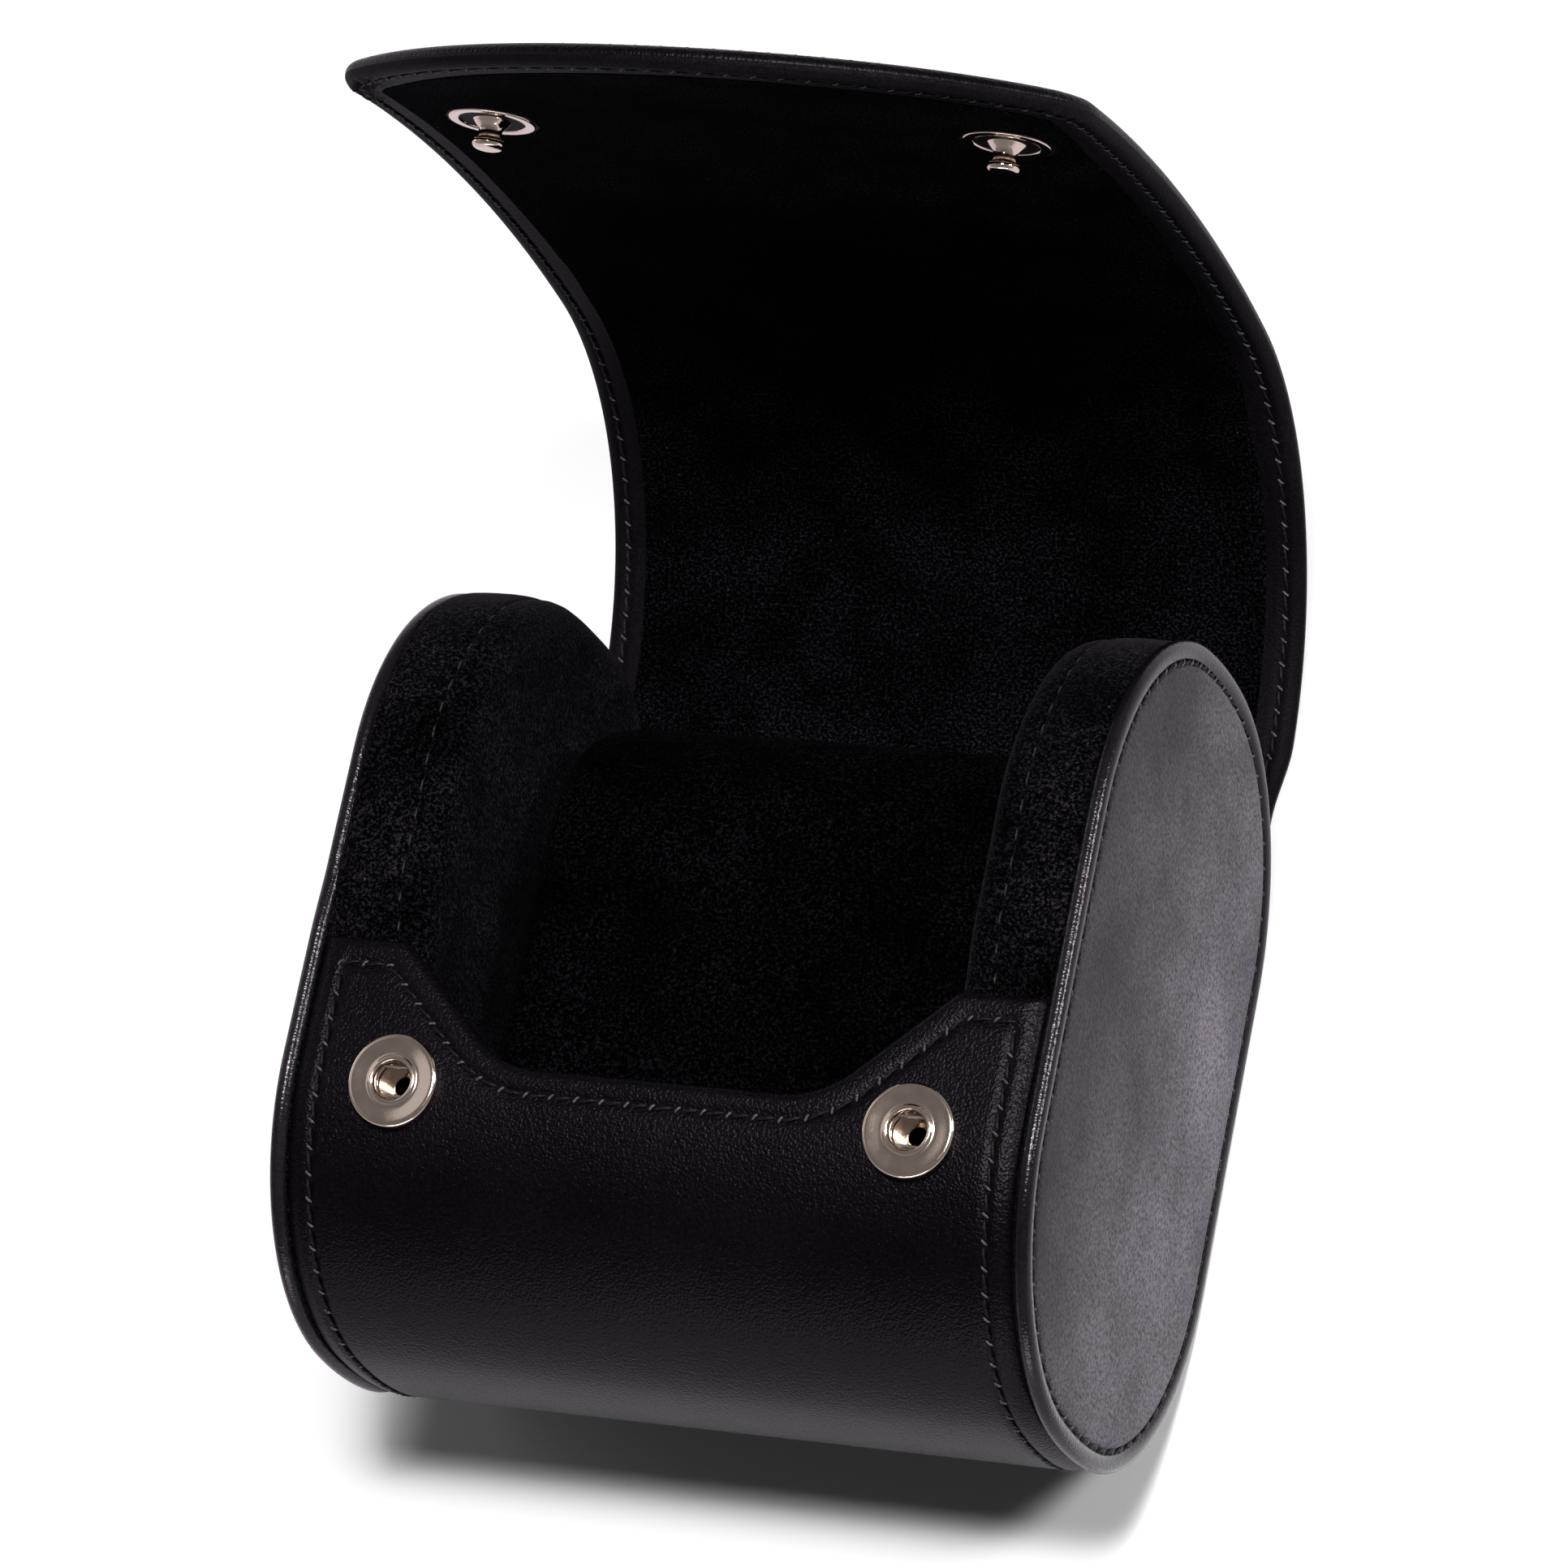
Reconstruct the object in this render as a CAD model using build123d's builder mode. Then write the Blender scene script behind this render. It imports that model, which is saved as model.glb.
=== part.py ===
"""A small leather roll case: two oval end caps, a wrap that is front panel, base and back,
and a lid that is the same leather carried on, in three stretches that fold over the caps.

The roll lies on its flat back. X runs from cap to cap, Y along the oval towards the lid's root,
Z up to the front panel. The origin is the middle of the back. Sizes are in millimetres.
"""
import os
from math import acos, asin, cos, degrees, radians, sin

from build123d import *

os.makedirs("parts", exist_ok=True)

# Case, over the two end discs
CASE_WIDTH = 95.2
CASE_HEIGHT = 98.5
CASE_DEPTH = 67.0
CORNER_SHORT = 3.5
END_RADIUS = 60.0

# End caps
DISC_THICKNESS = 2.0
DISC_ROUND = 0.9
CAP_THICKNESS = 14.2
PAD_INSET = 0.6
PAD_FRONT_SLOPE = 8.6
CAP_BOARD = 1.2
VELVET = 1.0

# Wrap, from outside in
WRAP_LEATHER = 1.3
WRAP_BOARD = 1.1
WRAP_LINING = 0.8
PANEL_HEIGHT = 45.05
PANEL_TIP_WIDTH = 10.8
SCOOP_DROP = 14.1
SCOOP_SLANT = 14.7
SCOOP_ROUND = 12.0

# Lid, from outside in
LID_LEATHER = 1.2
LID_BOARD = 0.8
LID_LINING = 0.8
BINDING_WIDTH = 4.3
LID_PAST_WRAP = 0.8
ROOT_PAST_FLAT = 8.5
STRIP_LENGTH = 16.6
LID_RUN = 3.8
CURL_TURN = 83.8
FLAP_OVERHANG = 33.8
FLAP_BOW = 19.5
FLAP_CORNER = 11.0
ROOT_FOLD = 22.8
SHOULDER_FOLD = 34.2
FLAP_FOLD = 29.6

# Snap fasteners
SNAP_FROM_SIDE = 13.35
SNAP_FROM_TOP = 17.4
SOCKET_DIAMETER = 11.2
SOCKET_HEIGHT = 1.4
SOCKET_SINK = 0.5
SOCKET_EDGE = 0.85
SOCKET_ROUND = 0.45
SOCKET_COLLAR = 6.5
SOCKET_DISH = 1.0
SOCKET_CREST = 5.6
SOCKET_BORE = 4.6
SOCKET_LIP = 0.35
SPRING_WIRE = 0.45
SPRING_SPACING = 3.5
SPRING_CHAMBER = 6.8
SPRING_ROOM = 0.62
SPRING_LEVEL = 0.3
EYELET_BORE = 2.4
EYELET_WALL = 0.4
EYELET_FLANGE = 8.0
EYELET_FLOOR = 0.4
STUD_BASE = 10.4
STUD_PROUD = 0.2
STUD_FOOT = 4.4
STUD_RING = 7.8
STUD_RING_DEPTH = 0.4
STUD_CONE = 1.0
STUD_NECK = 2.8
STUD_HEAD = 3.9
STUD_HEIGHT = 3.5
STUD_HEAD_HEIGHT = 1.3
STUD_TIP = 2.0
RIVET_HEAD = 8.0
RIVET_SHANK = 1.8
RIVET_REACH = 1.5

# Pillow
PILLOW_SIDE_ROOM = 2.4
PILLOW_END_ROOM = 9.55
PILLOW_HEAD_ROOM = 13.8
PILLOW_CROWN = 1.6
PILLOW_CORNER = 18.0
PILLOW_END_ROUND = 6.0
PILLOW_COVER = 1.5

# Clearances
BOND_GAP = 0.05
FOLD_GAP = 0.3
LID_SIDE_GAP = 0.3
SNAP_GAP = 0.2
SEAT_GAP = 0.3
PAD_GAP = 0.4
PIN_GAP = 0.05
BED_GAP = 0.1
EYELET_BED_GAP = 0.32
CUT_PAST = 5.0

# Worked out from the driving dimensions
CORNER_RADIUS = CASE_DEPTH / 2 - CORNER_SHORT
CORNER_TURN = degrees(acos(CORNER_SHORT / (END_RADIUS - CORNER_RADIUS)))
END_TURN = 180 - 2 * CORNER_TURN
SIDE_RUN = CASE_HEIGHT / 2 - END_RADIUS + (END_RADIUS - CORNER_RADIUS) * sin(radians(CORNER_TURN))
WRAP_THICKNESS = WRAP_LEATHER + WRAP_BOARD + WRAP_LINING
LID_THICKNESS = LID_LEATHER + LID_BOARD + LID_LINING
WRAP_WIDTH = CASE_WIDTH - 2 * DISC_THICKNESS
STRIP_WIDTH = WRAP_WIDTH - 2 * LID_SIDE_GAP
LID_WIDTH = WRAP_WIDTH + 2 * LID_PAST_WRAP
CAP_INNER_X = CASE_WIDTH / 2 - CAP_THICKNESS
DISC_INNER_X = WRAP_WIDTH / 2
CORE_INSET = WRAP_THICKNESS + VELVET
PANEL_TOP_Y = PANEL_HEIGHT - CASE_HEIGHT / 2
SCOOP_Y = PANEL_TOP_Y - SCOOP_DROP
SCOOP_TOP_WIDTH = WRAP_WIDTH - 2 * PANEL_TIP_WIDTH
SCOOP_BASE_WIDTH = SCOOP_TOP_WIDTH - 2 * SCOOP_SLANT
SNAP_X = WRAP_WIDTH / 2 - SNAP_FROM_SIDE
SNAP_Y = PANEL_TOP_Y - SNAP_FROM_TOP
ROOT_Y = SIDE_RUN + ROOT_PAST_FLAT
PILLOW_WIDTH = 2 * (CAP_INNER_X - PILLOW_SIDE_ROOM)
PILLOW_HEIGHT = CASE_HEIGHT - 2 * (WRAP_THICKNESS + PILLOW_END_ROOM)
PILLOW_DEPTH = CASE_DEPTH - 2 * WRAP_THICKNESS - SEAT_GAP - PILLOW_HEAD_ROOM
FLAP_BOW_RADIUS = ((LID_WIDTH / 2) ** 2 + FLAP_BOW**2) / 2 / FLAP_BOW
SNAP_STAND = SOCKET_HEIGHT + STUD_PROUD + SNAP_GAP


def snap_seat():
    """Point of the front panel's outside under a snap, and the slope of the leather there."""
    slope = asin(max(-SNAP_Y - SIDE_RUN, 0) / CORNER_RADIUS)
    return Vector(0, SNAP_Y, CASE_DEPTH - CORNER_RADIUS * (1 - cos(slope))), degrees(slope)


def lid_radii():
    """Radii of the curl and of the flap with which the studs of the closed lid meet the sockets.

    The closed lid leaves its root, turns at its three folds and ends on the snap, so the two
    radii solve one pair of equations, one along Y and one along Z, taken on the lining's face.
    """
    seat, slope = snap_seat()
    first = radians(ROOT_FOLD)
    second = radians(ROOT_FOLD + SHOULDER_FOLD)
    third = second + radians(CURL_TURN)
    flap_start = third + radians(FLAP_FOLD)
    flap_end = radians(180 + slope)
    reach_y = seat.Y - SNAP_STAND * sin(radians(slope)) - ROOT_Y
    reach_y -= STRIP_LENGTH * cos(first) + LID_RUN * cos(second)
    reach_z = seat.Z + SNAP_STAND * cos(radians(slope)) - LID_THICKNESS
    reach_z -= STRIP_LENGTH * sin(first) + LID_RUN * sin(second)
    curl_y = sin(third) - sin(second)
    curl_z = cos(second) - cos(third)
    flap_y = sin(flap_end) - sin(flap_start)
    flap_z = cos(flap_start) - cos(flap_end)
    scale = curl_y * flap_z - flap_y * curl_z
    curl = (reach_y * flap_z - flap_y * reach_z) / scale
    flap = (curl_y * reach_z - reach_y * curl_z) / scale
    return curl + LID_THICKNESS, flap + LID_THICKNESS


CURL_RADIUS, FLAP_RADIUS = lid_radii()
SHOULDER_Y = ROOT_Y + STRIP_LENGTH
CURL_START_Y = SHOULDER_Y + LID_RUN
ROOT_AXIS = Vector(0, ROOT_Y, LID_THICKNESS)
SHOULDER_AXIS = Vector(0, SHOULDER_Y, LID_THICKNESS)


def curl_point(depth):
    """End of the lid's curl, `depth` inside the leather's outer face."""
    turn = radians(CURL_TURN)
    radius = CURL_RADIUS - depth
    return Vector(0, CURL_START_Y + radius * sin(turn), CURL_RADIUS - radius * cos(turn))


FLAP_AXIS = curl_point(LID_THICKNESS)


def unfold(point):
    """Where a point of the closed flap lies when the lid is open, as the roll is modelled."""
    for axis, fold in ((ROOT_AXIS, ROOT_FOLD), (SHOULDER_AXIS, SHOULDER_FOLD), (FLAP_AXIS, FLAP_FOLD)):
        point = axis + (point - axis).rotate(Axis.X, -fold)
    return point


SEAT, SNAP_SLOPE = snap_seat()
SNAP_NORMAL = Vector(0, -sin(radians(SNAP_SLOPE)), cos(radians(SNAP_SLOPE)))
STUD_SEAT = unfold(SEAT + SNAP_NORMAL * SNAP_STAND)
STUD_NORMAL = (unfold(SEAT) - STUD_SEAT).normalized()
FLAP_TIP_Z = STUD_SEAT.Z + FLAP_OVERHANG


def oval(inset):
    """Face of the case's oval, `inset` inside the rim of the end discs."""
    corner = CORNER_RADIUS - inset
    end = END_RADIUS - inset
    with BuildLine() as outline:
        back = Line((-SIDE_RUN, inset), (SIDE_RUN, inset))
        low = JernArc(back @ 1, back % 1, corner, CORNER_TURN)
        head = JernArc(low @ 1, low % 1, end, END_TURN)
        high = JernArc(head @ 1, head % 1, corner, CORNER_TURN)
        front = Line(high @ 1, (-SIDE_RUN, CASE_DEPTH - inset))
        fore = JernArc(front @ 1, front % 1, corner, CORNER_TURN)
        foot = JernArc(fore @ 1, fore % 1, end, END_TURN)
        JernArc(foot @ 1, foot % 1, corner, CORNER_TURN)
    make_face(outline.edges())


def head_room():
    """Face that takes in the caps' head, clear of the front panel and of the closed hinge strip."""
    front = PANEL_TOP_Y + PAD_GAP
    shelf = CASE_DEPTH - WRAP_THICKNESS
    far = CASE_HEIGHT
    rise = (sin(radians(ROOT_FOLD)) / cos(radians(ROOT_FOLD)), PAD_GAP / cos(radians(ROOT_FOLD)))
    with BuildLine() as outline:
        slope = Line((front, shelf), (front + PAD_FRONT_SLOPE, CASE_DEPTH))
        top = Line(slope @ 1, (far, CASE_DEPTH))
        back = Line(top @ 1, (far, LID_THICKNESS + (far - ROOT_Y) * rise[0] + rise[1]))
        strip = Line(back @ 1, (ROOT_Y, LID_THICKNESS + rise[1]))
        rest = Line(strip @ 1, (ROOT_Y, CASE_DEPTH / 2))
        middle = Line(rest @ 1, (front, CASE_DEPTH / 2))
        Line(middle @ 1, slope @ 0)
    make_face(outline.edges(), mode=Mode.INTERSECT)


def wrap_edge(inset):
    """One face of the wrap in section: down the front panel, round the base, along the back."""
    front = Line((PANEL_TOP_Y, CASE_DEPTH - inset), (-SIDE_RUN, CASE_DEPTH - inset))
    fore = JernArc(front @ 1, front % 1, CORNER_RADIUS - inset, CORNER_TURN)
    foot = JernArc(fore @ 1, fore % 1, END_RADIUS - inset, END_TURN)
    heel = JernArc(foot @ 1, foot % 1, CORNER_RADIUS - inset, CORNER_TURN)
    back = Line(heel @ 1, (ROOT_Y - FOLD_GAP / 2, inset))
    return front @ 0, back @ 1


def wrap_band(outer, inner):
    """Section of one layer of the wrap, between two insets from the rim."""
    with BuildLine() as outline:
        outer_top, outer_root = wrap_edge(outer)
        inner_top, inner_root = wrap_edge(inner)
        Line(outer_top, inner_top)
        Line(outer_root, inner_root)
    make_face(outline.edges())


def lid_edge(depth):
    """One face of the lid's top in section, from the shoulder fold round the curl to the flap."""
    trim = degrees(FOLD_GAP / 2 / CURL_RADIUS)
    run = Line((SHOULDER_Y + FOLD_GAP / 2, depth), (CURL_START_Y, depth))
    curl = JernArc(run @ 1, run % 1, CURL_RADIUS - depth, CURL_TURN - trim)
    return run @ 0, curl @ 1


def flap_edge(depth):
    """One face of the flap in section, from its fold to past its front edge."""
    start = curl_point(depth)
    heading = radians(CURL_TURN)
    trim = degrees(FOLD_GAP / 2 / FLAP_RADIUS)
    sweep = degrees((FLAP_TIP_Z - start.Z + CUT_PAST) / FLAP_RADIUS)
    centre = start + Vector(0, -sin(heading), cos(heading)) * (FLAP_RADIUS - depth)
    first = (start - centre).rotate(Axis.X, trim) + centre
    direction = Vector(0, cos(heading), sin(heading)).rotate(Axis.X, trim)
    arc = JernArc((first.Y, first.Z), (direction.Y, direction.Z), FLAP_RADIUS - depth, sweep)
    return arc @ 0, arc @ 1


def band(edge, outer, inner):
    """Section of one layer of the lid between two depths, with `edge` giving its faces."""
    with BuildLine() as outline:
        outer_start, outer_end = edge(outer)
        inner_start, inner_end = edge(inner)
        Line(outer_start, inner_start)
        Line(outer_end, inner_end)
    make_face(outline.edges())


def strip_band(outer, inner):
    """Section of one layer of the hinge strip, flat between the root and shoulder folds."""
    with Locations(((ROOT_Y + SHOULDER_Y) / 2, (outer + inner) / 2)):
        Rectangle(STRIP_LENGTH - FOLD_GAP, inner - outer)


def flap_front(inset):
    """Front outline of the flap, seen along Y: straight sides, round corners, bowed edge."""
    half = LID_WIDTH / 2 - inset
    radius = FLAP_BOW_RADIUS - inset
    tip = FLAP_TIP_Z - inset
    side_top = tip - radius + (radius**2 - half**2) ** 0.5
    with BuildLine() as outline:
        left = Line((-half, 0), (-half, side_top))
        right = Line((half, 0), (half, side_top))
        Line(left @ 0, right @ 0)
        ThreePointArc(left @ 1, (0, tip), right @ 1)
    make_face(outline.edges())
    fillet(vertices().group_by(Axis.Y)[-1], FLAP_CORNER - inset)


def pillow_section(inset):
    """Section of the pillow, crowned on all four sides with round corners."""
    low = WRAP_THICKNESS + SEAT_GAP + inset
    high = WRAP_THICKNESS + SEAT_GAP + PILLOW_DEPTH - inset
    half = PILLOW_HEIGHT / 2 - inset
    with BuildLine() as outline:
        side = half - PILLOW_CROWN
        back = ThreePointArc((-side, low + PILLOW_CROWN), (0, low), (side, low + PILLOW_CROWN))
        head = ThreePointArc(back @ 1, (half, (low + high) / 2), (side, high - PILLOW_CROWN))
        front = ThreePointArc(head @ 1, (0, high), (-side, high - PILLOW_CROWN))
        ThreePointArc(front @ 1, (-half, (low + high) / 2), back @ 0)
    make_face(outline.edges())
    fillet(vertices(), PILLOW_CORNER - inset)


def snap_plane(x, seat, normal):
    """Plane through a snap's axis, for the half section that turns about it."""
    return Plane(origin=(x, seat.Y, seat.Z), x_dir=(1, 0, 0), z_dir=Vector(1, 0, 0).cross(normal))


def snap_axis(x, seat, normal):
    """Axis of a snap, standing on its seat."""
    return Axis((x, seat.Y, seat.Z), normal)


def face_plane(x, seat, normal):
    """Plane square to a snap's axis, for the holes that it goes through."""
    return Plane(origin=(x, seat.Y, seat.Z), x_dir=(1, 0, 0), z_dir=normal)


def finish(part, name):
    """Label a finished piece and write it out."""
    part.part.label = name
    export_step(part.part, f"parts/{name}.step")


SIDES = {"left": -1, "right": 1}
EYELET_OUTER = SOCKET_BORE + 2 * EYELET_WALL
LINING_DEPTH = WRAP_LEATHER + WRAP_BOARD + BOND_GAP

# End caps: leather disc, board, foam core, velvet round the core and over its inner face.
# The velvet swells to the disc's rim at the head, where no wrap lies on it
for side, sign in SIDES.items():
    disc_start = DISC_INNER_X if sign > 0 else -CASE_WIDTH / 2
    with BuildPart() as cap_disc:
        with BuildSketch(Plane.YZ.offset(disc_start)):
            oval(0)
        extrude(amount=DISC_THICKNESS)
        fillet(cap_disc.faces().filter_by(Axis.X).edges(), DISC_ROUND)
    finish(cap_disc, f"{side}_cap_disc")

    with BuildPart() as cap_board:
        with BuildSketch(Plane.YZ.offset(sign * DISC_INNER_X)):
            oval(CORE_INSET)
        extrude(amount=-sign * CAP_BOARD)
    finish(cap_board, f"{side}_cap_board")

    with BuildPart() as cap_core:
        with BuildSketch(Plane.YZ.offset(sign * (DISC_INNER_X - CAP_BOARD))):
            oval(CORE_INSET)
        extrude(amount=-sign * (DISC_INNER_X - CAP_BOARD - CAP_INNER_X - VELVET))
    finish(cap_core, f"{side}_cap_core")

    with BuildPart() as cap_band:
        with BuildSketch(Plane.YZ.offset(sign * DISC_INNER_X)):
            oval(PAD_INSET)
            head_room()
        extrude(amount=-sign * (DISC_INNER_X - CAP_INNER_X))
        with BuildSketch(Plane.YZ.offset(sign * DISC_INNER_X)):
            oval(WRAP_THICKNESS + BOND_GAP)
        extrude(amount=-sign * (DISC_INNER_X - CAP_INNER_X))
        with BuildSketch(Plane.YZ.offset(sign * DISC_INNER_X)):
            oval(CORE_INSET)
        extrude(amount=-sign * (DISC_INNER_X - CAP_INNER_X), mode=Mode.SUBTRACT)
    finish(cap_band, f"{side}_cap_band")

    with BuildPart() as cap_lining:
        with BuildSketch(Plane.YZ.offset(sign * CAP_INNER_X)):
            oval(CORE_INSET)
        extrude(amount=sign * VELVET)
    finish(cap_lining, f"{side}_cap_lining")

# Cutter for the scooped top edge of the front panel
with BuildPart() as scoop:
    with BuildSketch(Plane.XY.offset(CASE_DEPTH / 2)):
        slant = (SCOOP_TOP_WIDTH - SCOOP_BASE_WIDTH) / 2 / (PANEL_TOP_Y - SCOOP_Y)
        top_y = PANEL_TOP_Y + CUT_PAST
        top_half = SCOOP_TOP_WIDTH / 2 + slant * CUT_PAST
        base_half = SCOOP_BASE_WIDTH / 2
        with BuildLine():
            base = Line((-base_half, SCOOP_Y), (base_half, SCOOP_Y))
            Polyline(base @ 1, (top_half, top_y), (-top_half, top_y), base @ 0)
        make_face()
        fillet(vertices().group_by(Axis.Y)[0], SCOOP_ROUND)
    extrude(amount=CASE_DEPTH)

# Wrap: leather, stiff board and velvet lining, glued up as one curved wall
with BuildPart() as wrap_leather:
    with BuildSketch(Plane.YZ):
        wrap_band(0, WRAP_LEATHER)
    extrude(amount=WRAP_WIDTH / 2, both=True)
    add(scoop.part, mode=Mode.SUBTRACT)
    for sign in SIDES.values():
        with BuildSketch(face_plane(sign * SNAP_X, SEAT, SNAP_NORMAL)):
            Circle(EYELET_OUTER / 2 + PIN_GAP)
        extrude(amount=-WRAP_THICKNESS, both=True, mode=Mode.SUBTRACT)
        with BuildSketch(face_plane(sign * SNAP_X, SEAT - SNAP_NORMAL * SOCKET_SINK, SNAP_NORMAL)):
            Circle(SOCKET_DIAMETER / 2 + PIN_GAP)
        extrude(amount=WRAP_THICKNESS, mode=Mode.SUBTRACT)
finish(wrap_leather, "wrap_leather")

with BuildPart() as wrap_board:
    with BuildSketch(Plane.YZ):
        wrap_band(WRAP_LEATHER + BOND_GAP, WRAP_LEATHER + WRAP_BOARD)
    extrude(amount=WRAP_WIDTH / 2, both=True)
    add(scoop.part, mode=Mode.SUBTRACT)
    for sign in SIDES.values():
        with BuildSketch(face_plane(sign * SNAP_X, SEAT, SNAP_NORMAL)):
            Circle(EYELET_OUTER / 2 + PIN_GAP)
        extrude(amount=-WRAP_THICKNESS, mode=Mode.SUBTRACT)
finish(wrap_board, "wrap_board")

with BuildPart() as wrap_lining:
    with BuildSketch(Plane.YZ):
        wrap_band(LINING_DEPTH, WRAP_THICKNESS)
    extrude(amount=WRAP_WIDTH / 2, both=True)
    add(scoop.part, mode=Mode.SUBTRACT)
    for sign in SIDES.values():
        with BuildSketch(face_plane(sign * SNAP_X, SEAT, SNAP_NORMAL)):
            Circle(EYELET_FLANGE / 2 + PIN_GAP)
        extrude(amount=-WRAP_THICKNESS * 2, mode=Mode.SUBTRACT)
finish(wrap_lining, "wrap_lining")

# Snap sockets on the front panel: cap, two spring wires and the eyelet that holds it
for side, sign in SIDES.items():
    snap_x = sign * SNAP_X
    with BuildPart() as socket:
        with BuildSketch(snap_plane(snap_x, SEAT, SNAP_NORMAL)):
            bore = SOCKET_BORE / 2
            with BuildLine():
                foot = Line((bore, -SOCKET_SINK), (SOCKET_DIAMETER / 2, -SOCKET_SINK))
                edge = Line(foot @ 1, (SOCKET_DIAMETER / 2, SOCKET_EDGE))
                brow_end = (SOCKET_DIAMETER / 2 - SOCKET_ROUND, SOCKET_EDGE + SOCKET_ROUND)
                brow = TangentArc(edge @ 1, brow_end, tangent=edge % 1)
                dish = Line(brow @ 1, (SOCKET_COLLAR / 2, SOCKET_DISH))
                collar = Line(dish @ 1, (SOCKET_CREST / 2, SOCKET_HEIGHT))
                lip = Line(collar @ 1, (bore, SOCKET_HEIGHT - SOCKET_LIP))
                throat = Line(lip @ 1, (bore, SPRING_ROOM))
                roof = Line(throat @ 1, (SPRING_CHAMBER / 2, SPRING_ROOM))
                wall = Line(roof @ 1, (SPRING_CHAMBER / 2, 0))
                floor = Line(wall @ 1, (bore, 0))
                Line(floor @ 1, foot @ 0)
            make_face()
        revolve(axis=snap_axis(snap_x, SEAT, SNAP_NORMAL))
    finish(socket, f"{side}_socket")

    wire_y = SPRING_SPACING / 2
    wire_half = ((SPRING_CHAMBER / 2) ** 2 - (wire_y + SPRING_WIRE / 2) ** 2) ** 0.5 - PIN_GAP
    wire_plane = Plane(
        origin=Vector(snap_x - wire_half, SEAT.Y, SEAT.Z) + SNAP_NORMAL * SPRING_LEVEL,
        x_dir=SNAP_NORMAL.cross(Vector(1, 0, 0)),
        z_dir=(1, 0, 0),
    )
    for place, wire_sign in {"upper": 1, "lower": -1}.items():
        with BuildPart() as spring:
            with BuildSketch(wire_plane):
                with Locations((wire_sign * wire_y, 0)):
                    Circle(SPRING_WIRE / 2)
            extrude(amount=2 * wire_half)
        finish(spring, f"{side}_{place}_spring")

    flange_top = LINING_DEPTH + EYELET_BED_GAP
    with BuildPart() as eyelet:
        with BuildSketch(snap_plane(snap_x, SEAT, SNAP_NORMAL)):
            tube = EYELET_OUTER / 2
            with BuildLine():
                top = Line((bore, -SOCKET_SINK - PIN_GAP), (tube, -SOCKET_SINK - PIN_GAP))
                side_wall = Line(top @ 1, (tube, -flange_top))
                ledge = Line(side_wall @ 1, (EYELET_FLANGE / 2, -flange_top))
                rim = Line(ledge @ 1, (EYELET_FLANGE / 2, -flange_top - EYELET_FLOOR))
                under = Line(rim @ 1, (EYELET_BORE / 2, -flange_top - EYELET_FLOOR))
                hole = Line(under @ 1, (EYELET_BORE / 2, -flange_top))
                step = Line(hole @ 1, (bore, -flange_top))
                Line(step @ 1, top @ 0)
            make_face()
        revolve(axis=snap_axis(snap_x, SEAT, SNAP_NORMAL))
    finish(eyelet, f"{side}_eyelet")

# Hinge strip: the flat stretch of the lid between its root and the shoulder fold
LINING_WIDTH = LID_WIDTH - 2 * (BINDING_WIDTH + BOND_GAP)
with BuildPart() as hinge_leather:
    with BuildSketch(Plane.YZ):
        strip_band(0, LID_THICKNESS)
    extrude(amount=STRIP_WIDTH / 2, both=True)
    with BuildSketch(Plane.YZ):
        strip_band(LID_LEATHER, LID_THICKNESS + CUT_PAST)
    extrude(amount=STRIP_WIDTH / 2 - BINDING_WIDTH, both=True, mode=Mode.SUBTRACT)
finish(hinge_leather, "hinge_leather")

with BuildPart() as hinge_lining:
    with BuildSketch(Plane.YZ):
        strip_band(LID_LEATHER + BOND_GAP, LID_THICKNESS)
    extrude(amount=STRIP_WIDTH / 2 - BINDING_WIDTH - BOND_GAP, both=True)
finish(hinge_lining, "hinge_lining")

# Lid: the stretch that turns over the top of the caps
with BuildPart() as lid_leather:
    with BuildSketch(Plane.YZ):
        band(lid_edge, 0, LID_THICKNESS)
    extrude(amount=LID_WIDTH / 2, both=True)
    with BuildSketch(Plane.YZ):
        band(lid_edge, LID_LEATHER, LID_THICKNESS + CUT_PAST)
    extrude(amount=LID_WIDTH / 2 - BINDING_WIDTH, both=True, mode=Mode.SUBTRACT)
finish(lid_leather, "lid_leather")

with BuildPart() as lid_board:
    with BuildSketch(Plane.YZ):
        band(lid_edge, LID_LEATHER + BOND_GAP, LID_LEATHER + LID_BOARD)
    extrude(amount=LINING_WIDTH / 2, both=True)
finish(lid_board, "lid_board")

with BuildPart() as lid_lining:
    with BuildSketch(Plane.YZ):
        band(lid_edge, LID_LEATHER + LID_BOARD + BOND_GAP, LID_THICKNESS)
    extrude(amount=LINING_WIDTH / 2, both=True)
finish(lid_lining, "lid_lining")

# Flap: the stretch that lies over the front panel and carries the studs
with BuildPart() as flap_pocket:
    with BuildSketch(Plane.YZ):
        band(flap_edge, LID_LEATHER, LID_THICKNESS + CUT_PAST)
    extrude(amount=LID_WIDTH / 2, both=True)
    with BuildSketch(Plane.XZ):
        flap_front(BINDING_WIDTH)
    extrude(amount=CASE_HEIGHT * 2, both=True, mode=Mode.INTERSECT)

with BuildPart() as flap_leather:
    with BuildSketch(Plane.YZ):
        band(flap_edge, 0, LID_THICKNESS)
    extrude(amount=LID_WIDTH / 2, both=True)
    with BuildSketch(Plane.XZ):
        flap_front(0)
    extrude(amount=CASE_HEIGHT * 2, both=True, mode=Mode.INTERSECT)
    add(flap_pocket.part, mode=Mode.SUBTRACT)
finish(flap_leather, "flap_leather")

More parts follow.
